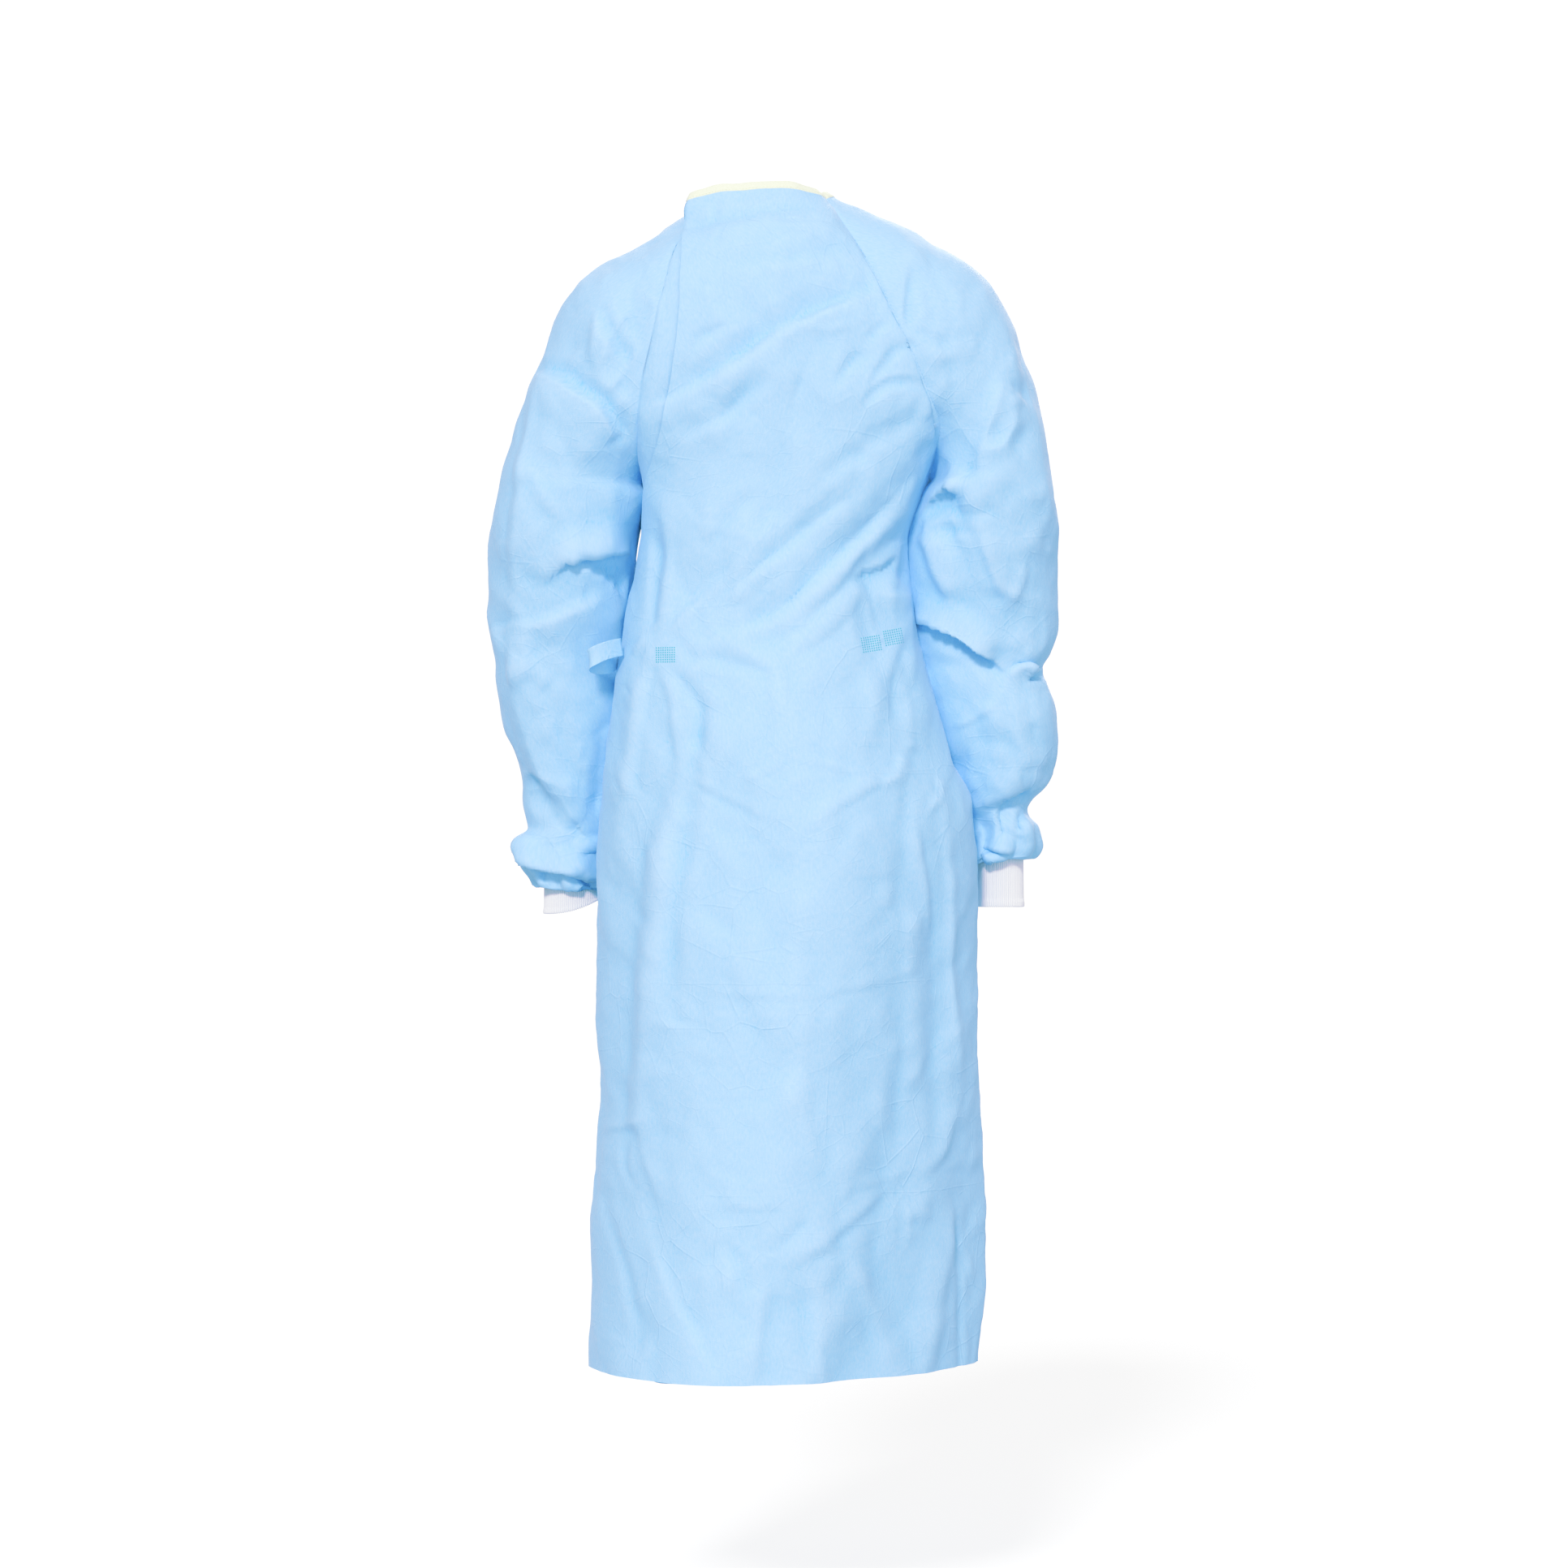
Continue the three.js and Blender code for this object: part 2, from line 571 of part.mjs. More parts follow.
function sleeveSheet(table, side) {
  const last = table.length - 1;
  const lower = [];
  for (let i = 1; i <= SLEEVE_STEPS; i++) lower.push(mix(ARMPIT, last, i / SLEEVE_STEPS));
  const sheet = makeSheet([...capRows, ...lower], SLEEVE_COLUMNS,
    (row, share) => sleevePoint(table, side, row, share), ARMPIT);
  return side === 'left' ? turnOver(sheet) : sheet;
}
const rightSheet = sleeveSheet(SLEEVE_RIGHT, 'right');
const leftSheet = sleeveSheet(SLEEVE_LEFT, 'left');

const skin = [overSheet, underSheet, frontSheet, rightSheet, leftSheet];
sharedNormals(skin);
const plainUnder = underSheet.points.map((p) => p.clone());
addFolds(skin);
sharedNormals(skin);

// Takes the hidden part of the under back off its folds and further in
underSheet.index.forEach((line, r) => {
  const edge = edgeAcross(rows[r]);
  line.forEach((i, c) => {
    const across = spread(-1, UNDER_END, c / UNDER_COLUMNS);
    const hidden = smoothstep(across, edge - 0.02, edge + 0.3) * smoothstep(rows[r], 0, 2.5);
    underSheet.points[i].lerp(plainUnder[i], hidden);
    underSheet.points[i].addScaledVector(underSheet.normals[i], -UNDER_INSET * hidden);
  });
});

// Lifts the over back off the under one, and its top corner off the left shoulder
const corner = new THREE.Vector3(NECK_CORNER.x, NECK_CORNER.y, NECK_CORNER.z);
corner.sub(overSheet.points[overSheet.index[0][0]]);
overSheet.index.forEach((line, r) => {
  const row = rows[r];
  line.forEach((i, c) => {
    const share = c / OVER_COLUMNS;
    const across = overAcross(row, share);
    const lift = OVERLAP_LIFT * (1 - smoothstep(across, UNDER_END + 0.05, LIFT_START));
    const edge = EDGE_LIFT * (1 - smoothstep(share, 0, 0.3));
    overSheet.points[i].addScaledVector(overSheet.normals[i], lift + edge);
    const pull = (1 - smoothstep(share, 0, 0.45)) * (1 - smoothstep(row, 0, CORNER_REACH));
    overSheet.points[i].addScaledVector(corner, pull);
  });
});

// Neck binding: one band along the neck edge of every piece, from the over back's corner round
// to the under back's hidden end
function neckStations() {
  const stations = [];
  const follow = (sheet, columns) => {
    for (const c of columns) {
      const i = sheet.index[0][c];
      const below = sheet.points[sheet.index[1][c]];
      const across = sheet.points[i].clone().sub(below).normalize();
      const out = sheet.normals[i].clone();
      out.addScaledVector(across, -out.dot(across)).normalize();
      const place = sheet.points[i].clone()
        .addScaledVector(across, SEAM_GAP / 2 + BINDING_HEIGHT / 2)
        .addScaledVector(out, -CLOTH_WALL / 2);
      stations.push({ place, across, out, width: BINDING_HEIGHT });
    }
  };
  const every = (count, step) => {
    const columns = [];
    for (let c = 0; c <= count; c += step) columns.push(c);
    return columns;
  };
  follow(overSheet, every(OVER_COLUMNS, 1));
  follow(rightSheet, every(SLEEVE_COLUMNS, 4).slice(1));
  follow(frontSheet, every(FRONT_COLUMNS, 1).reverse().slice(1));
  follow(leftSheet, every(SLEEVE_COLUMNS, 4).reverse().slice(1));
  follow(underSheet, every(UNDER_COLUMNS, 1).slice(1));
  return stations;
}

// A cuff: a knitted tube that starts at the sleeve's last ring
function cuffGeometry(sheet, cuff) {
  const ring = sheet.index.at(-1).slice(0, -1).map((i) => sheet.points[i]);
  const middle = ring.reduce((sum, p) => sum.add(p), new THREE.Vector3()).divideScalar(ring.length);
  const inner = Math.min(...ring.map((p) => Math.abs(p.x)));
  const outer = Math.max(...ring.map((p) => Math.abs(p.x)));
  const points = [];
  const levels = [];
  for (let r = 0; r <= CUFF_ROWS; r++) levels.push({ share: r / CUFF_ROWS, wall: 0 });
  for (let r = CUFF_ROWS; r >= 0; r--) levels.push({ share: r / CUFF_ROWS, wall: CUFF_WALL });
  for (const { share, wall } of levels) {
    for (const p of ring) {
      const out = p.clone().sub(middle).setZ(0).normalize();
      const towardsBody = (outer - Math.abs(p.x)) / (outer - inner);
      const length = cuff.length - cuff.rise * towardsBody;
      const place = p.clone().addScaledVector(out, cuff.flare * share - wall);
      place.z = middle.z - CUFF_GAP - share * length;
      points.push(place);
    }
  }
  const faces = [];
  const n = ring.length;
  for (let r = 0; r < levels.length; r++) {
    const next = (r + 1) % levels.length;
    for (let c = 0; c < n; c++) {
      const [a, b] = [r * n + c, r * n + ((c + 1) % n)];
      const [d, e] = [next * n + c, next * n + ((c + 1) % n)];
      faces.push([a, d, e], [a, e, b]);
    }
  }
  return closedGeometry(points, facingOut(points, faces));
}

// A place on the front, at the ties' level or another, off the folded cloth by a distance
function onFront(z, across, off) {
  const row = rowAt(z);
  const place = frontPoint(row, across);
  const step = 0.01;
  const round = frontPoint(row, across + step).sub(frontPoint(row, across - step)).normalize();
  const down = frontPoint(row + step, across).sub(place).normalize();
  const out = round.clone().cross(down).normalize();
  if (out.y < 0) out.negate();
  return { place: place.addScaledVector(out, off + foldsAt(place, out)), round, down, out };
}

// Stations of a tie from a smooth path that stands on edge
function tieStations(path, steps) {
  const curve = new THREE.CatmullRomCurve3(path, false, 'centripetal');
  const stations = [];
  for (let s = 0; s <= steps; s++) {
    const along = curve.getTangentAt(s / steps);
    const across = new THREE.Vector3(0, 0, 1).addScaledVector(along, -along.z).normalize();
    const out = along.clone().cross(across).normalize();
    stations.push({ place: curve.getPointAt(s / steps), across, out, width: TIE_WIDTH });
  }
  return stations;
}

const tieMiddle = TIE_CLEAR + TIE_WALL / 2;
function tieBackPath() {
  const path = TIE_LOOP.map(({ x, y, up }) => new THREE.Vector3(x, y, TIE_LEVEL + up));
  const row = rowAt(TIE_LEVEL);
  const side = backPoint(row, -0.997);
  path.push(new THREE.Vector3(side.x - tieMiddle - TIE_SIDE_CLEAR, side.y, TIE_LEVEL));
  for (const across of [-0.997, -0.975, -0.93, -0.86, -0.78]) {
    path.push(onFront(TIE_LEVEL, across, tieMiddle + TIE_SIDE_CLEAR).place.setZ(TIE_LEVEL));
  }
  const end = onFront(TIE_LEVEL, KNOT_PLACE, KNOT.out + TIE_CLEAR);
  path.push(end.place.addScaledVector(end.round, -KNOT.along - 1).setZ(TIE_LEVEL));
  return path;
}

function tieFrontPath() {
  const path = [];
  const end = onFront(TIE_LEVEL, KNOT_PLACE, KNOT.out + TIE_CLEAR);
  path.push(end.place.addScaledVector(end.round, KNOT.along + 1).setZ(TIE_LEVEL));
  for (const across of [-0.46, -0.4, -0.34, FRONT_TIE_START]) {
    path.push(onFront(TIE_LEVEL, across, tieMiddle + 1).place.setZ(TIE_LEVEL));
  }
  return path;
}

// The knot: a small rounded wrap of cloth with a groove between its turns
function knotGeometry() {
  const { place, round, out } = onFront(TIE_LEVEL, KNOT_PLACE, KNOT.out + TIE_CLEAR);
  const ball = new THREE.SphereGeometry(1, 14, 10);
  ball.deleteAttribute('normal');
  ball.deleteAttribute('uv');
  const merged = mergeVertices(ball);
  const position = merged.getAttribute('position');
  const points = [];
  for (let i = 0; i < position.count; i++) {
    const point = new THREE.Vector3().fromBufferAttribute(position, i);
    const groove = 1 - 0.14 * Math.exp(-((point.x / 0.25) ** 2));
    const moved = place.clone()
      .addScaledVector(round, point.x * KNOT.along)
      .addScaledVector(out, point.z * KNOT.out * groove);
    moved.z += point.y * KNOT.up * groove;
    points.push(moved);
  }
  const corners = [...merged.getIndex().array];
  const faces = corners.filter((_, i) => i % 3 === 0).map((_, f) => corners.slice(3 * f, 3 * f + 3));
  return closedGeometry(points, facingOut(points, faces));
}

// A tail hangs from under the knot on the front's cloth
function tailStations({ length, drift, twist, off }) {
  const stations = [];
  const steps = 8;
  for (let s = 0; s <= steps; s++) {
    const share = s / steps;
    const z = TIE_LEVEL - KNOT.up * 0.94 - share * length;
    const across = KNOT_PLACE + (Math.sign(drift) * TAIL_APART + drift * share) / FRONT_HALF;
    const opened = smoothstep(share, 0, 0.3);
    const { place, round, down, out } = onFront(z, across, mix(KNOT.out + TIE_CLEAR, off, opened));
    const turn = twist * Math.sin(Math.PI * share) * 0.5;
    const side = round.clone().applyAxisAngle(down, turn).normalize();
    const face = out.clone().applyAxisAngle(down, turn).normalize();
    stations.push({ place, across: side, out: face, width: TIE_WIDTH * mix(0.45, 1, opened) });
  }
  return stations;
}

// Materials
const cloth = (name) => new THREE.MeshStandardMaterial({ name, color: 0xa9d2f8, roughness: 0.75 });
const knit = () => new THREE.MeshStandardMaterial({ name: 'knit', color: 0xeceef3, roughness: 0.9 });
const binding = () =>
  new THREE.MeshStandardMaterial({ name: 'binding', color: 0xf1f3c4, roughness: 0.8 });

// The gown: one named mesh for each piece
const gown = new THREE.Group();
function addPiece(name, geometry, material) {
  const mesh = new THREE.Mesh(geometry, material);
  mesh.name = name;
  gown.add(mesh);
}

addPiece('front_panel', thicken(frontSheet, CLOTH_WALL), cloth('front'));
addPiece('back_panel_over', thicken(overSheet, CLOTH_WALL), cloth('over back'));
addPiece('back_panel_under', thicken(underSheet, CLOTH_WALL), cloth('under back'));
addPiece('sleeve_left', thicken(leftSheet, CLOTH_WALL), cloth('left sleeve'));
addPiece('sleeve_right', thicken(rightSheet, CLOTH_WALL), cloth('right sleeve'));
addPiece('cuff_left', cuffGeometry(leftSheet, CUFF_LEFT), knit());
addPiece('cuff_right', cuffGeometry(rightSheet, CUFF_RIGHT), knit());
addPiece('neck_binding', band(neckStations(), BINDING_WALL), binding());
addPiece('tie_back', band(tieStations(tieBackPath(), 40), TIE_WALL), cloth('back tie'));
addPiece('tie_front', band(tieStations(tieFrontPath(), 10), TIE_WALL), cloth('front tie'));
addPiece('tie_knot', knotGeometry(), cloth('knot'));
addPiece('tie_tail_long', band(tailStations(TAIL_LONG), TIE_WALL), cloth('long tail'));
addPiece('tie_tail_short', band(tailStations(TAIL_SHORT), TIE_WALL), cloth('short tail'));

export default gown;
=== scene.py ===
import math
from collections import namedtuple

import bpy
import numpy as np
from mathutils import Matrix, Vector
from mathutils.bvhtree import BVHTree
from mathutils.kdtree import KDTree


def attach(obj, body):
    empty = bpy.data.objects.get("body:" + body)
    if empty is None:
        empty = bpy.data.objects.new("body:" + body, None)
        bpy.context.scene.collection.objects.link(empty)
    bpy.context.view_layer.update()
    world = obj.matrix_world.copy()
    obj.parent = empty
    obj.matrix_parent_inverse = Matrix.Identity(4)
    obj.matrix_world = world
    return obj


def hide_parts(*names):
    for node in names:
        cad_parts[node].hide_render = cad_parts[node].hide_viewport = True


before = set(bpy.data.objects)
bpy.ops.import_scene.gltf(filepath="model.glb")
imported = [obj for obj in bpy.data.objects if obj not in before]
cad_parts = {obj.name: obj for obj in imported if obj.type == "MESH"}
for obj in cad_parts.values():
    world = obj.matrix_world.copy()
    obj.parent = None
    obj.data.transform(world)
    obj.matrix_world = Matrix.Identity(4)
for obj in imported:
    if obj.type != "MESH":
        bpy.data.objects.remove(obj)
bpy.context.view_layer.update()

MM = 0.001


# Studio

CAMERA_PLACE = (0.005, -4.8, -0.596)
PHOTO_SIDE = 1932
PHOTO_FOCUS = 5850
SENSOR = 36.0
FLOOR_LEVEL = -1.45
FLOOR_HALF = 7.0


def make_camera():
    """A level camera that sees the back square on, as the photograph does."""
    data = bpy.data.cameras.new("camera")
    data.sensor_width = SENSOR
    data.lens = SENSOR * PHOTO_FOCUS / PHOTO_SIDE
    camera = bpy.data.objects.new("camera", data)
    camera.location = CAMERA_PLACE
    camera.rotation_euler = (math.radians(90), 0, 0)
    bpy.context.scene.collection.objects.link(camera)
    bpy.context.scene.camera = camera


def make_light(name, towards, strength, softness):
    """A far, soft studio light that shines from a direction; softness is its width in degrees."""
    data = bpy.data.lights.new(name, "SUN")
    data.energy = strength
    data.angle = math.radians(softness)
    light = bpy.data.objects.new(name, data)
    light.location = towards
    light.rotation_euler = (-Vector(towards)).to_track_quat("-Z", "Y").to_euler()
    bpy.context.scene.collection.objects.link(light)


# The film's answer to light, as pairs of scene light and picture light: bright tones are pressed
# together below white, so that pale cloth keeps its shades
FILM_WHITE = 1.3
TONES = [(0.30, 0.33), (0.45, 0.52), (0.62, 0.665), (0.80, 0.785), (1.0, 0.90)]
# Thin cloth lets light through, and its shadows stay sky blue: dark green and blue are lifted first
GREEN_SHADES = [(0.10, 0.19), (0.18, 0.29), (0.27, 0.36), (0.36, 0.415), (0.46, 0.475), (0.6, 0.605)]
BLUE_SHADES = [(0.30, 0.42), (0.52, 0.64), (0.67, 0.76), (0.80, 0.85), (0.95, 0.96)]


def set_tones():
    view = bpy.context.scene.view_settings
    view.view_transform = "Standard"
    view.use_curve_mapping = True
    mapping = view.curve_mapping
    mapping.white_level = (FILM_WHITE,) * 3
    for light, picture in TONES:
        mapping.curves[3].points.new(light / FILM_WHITE, picture)
    for curve, shades in ((mapping.curves[1], GREEN_SHADES), (mapping.curves[2], BLUE_SHADES)):
        for light, lifted in shades:
            curve.points.new(light / FILM_WHITE, lifted / FILM_WHITE)
    mapping.update()


make_camera()
make_light("key_light", (-0.5, -2.5, 1.4), 2.75, 10)
make_light("fill_light", (1.2, -3.0, 0.2), 0.75, 40)
make_light("rear_light", (0.4, 2.8, 1.4), 2.6, 30)
set_tones()


# Numbers and curves

def smoothstep(value, low, high):
    t = np.clip((value - low) / (high - low), 0.0, 1.0)
    return t * t * (3 - 2 * t)


def column(values, at):
    """Values of a table's column at row numbers, on a monotone cubic through its rows."""
    values = np.asarray(values, float)
    at = np.asarray(at, float)
    last = len(values) - 1
    step = np.diff(values, axis=0)
    slope = np.zeros_like(values)
    slope[0] = step[0]
    slope[-1] = step[-1]
    before, after = step[:-1], step[1:]
    turns = before * after <= 0
    slope[1:-1] = np.where(turns, 0, 2 * before * after / np.where(turns, 1, before + after))
    i = np.clip(np.floor(at).astype(int), 0, last - 1)
    t = (at - i).reshape(at.shape + (1,) * (values.ndim - 1))
    return (
        (2 * t**3 - 3 * t**2 + 1) * values[i]
        + (t**3 - 2 * t**2 + t) * slope[i]
        + (3 * t**2 - 2 * t**3) * values[i + 1]
        + (t**3 - t**2) * slope[i + 1]
    )


def unit(vectors):
    length = np.linalg.norm(vectors, axis=-1, keepdims=True)
    return vectors / np.maximum(length, 1e-9)


def smooth_path(points, steps):
    """A curve through points, with a number of steps between each two of them."""
    p = np.asarray(points, float)
    p = np.vstack([2 * p[0] - p[1], p, 2 * p[-1] - p[-2]])
    out = []
    for a, b, c, d in zip(p[:-3], p[1:-2], p[2:-1], p[3:]):
        for t in np.arange(steps) / steps:
            out.append(
                0.5 * (2 * b + (c - a) * t + (2 * a - 5 * b + 4 * c - d) * t**2
                       + (3 * b - a - 3 * c + d) * t**3)
            )
    out.append(p[-2])
    return np.array(out)


# Rows of the body run from the neck, through the armpit, to the hem
ARMPIT = 6
SKIRT = 12
HEM = 15

# Raglan seams of the back and the front, neck to armpit: X, Y and Z of each section's seam
BACK_SEAMS = {
    "left": [(-72, -37, -15), (-106, -75, -58), (-116, -95, -103), (-126, -100, -149),
             (-138, -94, -203), (-141, -72, -252), (-137, -6, -297)],
    "right": [(45, -40, -10), (82, -75, -64), (107, -95, -113), (124, -100, -149),
              (147, -92, -203), (160, -68, -244), (152, -6, -290)],
}
FRONT_SEAMS = {
    "left": [(-68, 40, -40), (-88, 70, -75), (-102, 90, -112), (-115, 100, -152),
             (-128, 98, -198), (-138, 76, -248), (-137, -6, -297)],
    "right": [(50, 40, -38), (84, 70, -75), (100, 90, -112), (115, 100, -152),
              (130, 98, -198), (146, 74, -246), (152, -6, -290)],
}
# Side seams, armpit to hem
SIDE_SEAMS = {
    "left": [(-137, -6, -297), (-147, -8, -357), (-154, -8, -425), (-160, -8, -490),
             (-168, -6, -560), (-176, -4, -625), (-180, 0, -715), (-183, 0, -850),
             (-187, 0, -1000), (-193, 0, -1182)],
    "right": [(152, -6, -290), (131, -8, -355), (136, -8, -425), (152, -8, -490),
              (170, -4, -560), (194, 0, -625), (201, 5, -715), (203, 10, -850),
              (208, 15, -1000), (206, 20, -1182)],
}
# Middle of the back and of the front, neck to hem: depth is its Y, rise how far it stands above
# the seams' line, round how full the section is, lean how far its fullness sits to the left, and
# edge the X of the over back's free edge
BACK_SHAPE = {
    "depth": (-62, -97, -110, -115, -117, -116, -115, -112, -110, -122, -138, -148, -154, -160,
              -168, -182),
    "rise": (10, 5, 2, 0, 0, 0, 0, 0, 0, 0, 0, 0, 0, 0, 0, 0),
    "round": (1.6, 1.3, 1.4, 1.4, 1.5, 1.8, 2.2, 2.2, 2.2, 2.1, 2.0, 1.8, 1.7, 1.5, 1.35, 1.2),
    "lean": (0, 0, 0, 0, 0, 0, 0, 0, 0, 0, 0, 0, 0.05, 0.1, 0.18, 0.25),
    "edge": (-95, -98, -98, -101, -110, -119, -131, -144, -153, -159, -166, -174, -178, -181,
             -187, -190),
}
FRONT_SHAPE = {
    "depth": (72, 92, 106, 118, 124, 126, 125, 120, 116, 124, 134, 140, 146, 152, 158, 165),
    "rise": (-33, -23, -14, -8, -3, 0, 0, 0, 0, 0, 0, 0, 0, 0, 0, 0),
    "round": (1.5, 1.3, 1.4, 1.4, 1.5, 1.8, 2.2, 2.2, 2.2, 2.1, 2.0, 1.9, 1.8, 1.8, 1.7, 1.7),
    "lean": (0, 0, 0, 0, 0, 0, 0, 0, 0, 0, 0, 0, 0, 0.05, 0.1, 0.1),
}
# The over back's top corner stands off the left shoulder
NECK_CORNER = (-89, -50, -15)
CORNER_REACH = 0.7

# Sleeves: outer is the X of the arm's outer edge, wide the half width, y the middle's Y, back and
# front the half depths. The first seven rows are the cap, open at the raglan seams.
SLEEVE_RIGHT = {
    "outer": (56, 120, 174, 215, 247, 266, 277, 285, 285, 276, 267, 280, 284, 273, 254, 263, 266,
              258, 249.5),
    "wide": (18, 40, 68, 90, 92, 78, 62.5, 77, 74.7, 65.5, 59, 60, 58, 44.5, 30, 32.5, 33, 31.5,
             23.5),
    "y": (3, 3, 3, 4, 6, 6, 6, 16, 24, 28, 30, 33, 38, 46, 52, 54, 56, 57, 57),
    "z": (-5, -30, -62, -99, -161, -226, -290, -352, -415, -462, -481, -514, -545, -591, -622,
          -640, -657, -671, -667.5),
    "back": (44, 78, 98, 104, 99, 90, 82, 80, 72, 64, 58, 61, 62, 54, 44, 45, 41, 37, 27),
    "front": (38, 68, 88, 97, 94, 88, 80, 76, 73, 69, 67, 68, 66, 60, 48, 48, 44, 38, 28),
}
SLEEVE_LEFT = {
    "outer": (-80, -126, -174, -213, -243, -265, -281, -290, -290, -288, -284, -275, -265, -262,
              -256, -267, -264, -256, -251, -240),
    "wide": (20, 36, 66, 88, 92, 84, 72, 71, 67.5, 63, 59.5, 52.5, 45.5, 42.5, 38.5, 43.5, 41.5,
             36.5, 36, 27.5),
    "y": (3, 3, 3, 4, 6, 6, 6, 14, 22, 26, 31, 36, 42, 47, 50, 52, 54, 56, 57, 57),
    "z": (-11, -42, -67, -103, -172, -236, -297, -360, -425, -465, -512, -550, -591, -617, -640,
          -656, -677, -692, -702, -698),
    "back": (44, 86, 99, 104, 100, 90, 82, 80, 72, 64, 60, 58, 54, 50, 46, 47, 43, 37, 36, 28),
    "front": (40, 68, 88, 97, 94, 88, 80, 78, 74, 70, 68, 64, 60, 56, 50, 50, 46, 40, 38, 29),
}
GATHER_WAVES = 7
GATHER_DEPTH = 3.2
GATHER_ROWS = 4

UNDERARM_CLING = 9

# How the over back lies on the under one
OVERLAP_LIFT = 2.7
EDGE_LIFT = 1.1
SKIRT_HOLD = 0.62
UNDER_END = 0.3
LIFT_START = 0.75
UNDER_INSET = 17

# Grid of the cloth, about 3.5 mm a cell
CAP_ROWS = 86
WAIST_ROWS = 120
SKIRT_ROWS = 132
SLEEVE_ROWS = 128
OVER_COLUMNS = 112
UNDER_COLUMNS = 56
FRONT_COLUMNS = 112
SLEEVE_COLUMNS = 140
CLOTH_WALL = 0.6


# Creases

# Crests are rounded by this much, so that the grid can carry them
CREST = 1.0
Crease = namedtuple("Crease", "path left right height crisp start end lean widen crosses")


def crease(path, left, right, height, crisp, start=0.15, end=0.15, lean=0, widen=1, crosses=False):
    """A ridge, or a trough where its height is below 0, along a path in X and Z.

    left and right are its widths on the two sides of the way along it, seen from the back or
    the front, crisp is 0 for a soft roll and 1 for a pressed edge, start and end how strong it
    is at its ends, lean how far its crest hangs over its narrow side, widen how much wider it
    ends, and a crease that crosses goes on over the raglan seams.
    """
    return Crease(path, left, right, height, crisp, start, end, lean, widen, crosses)


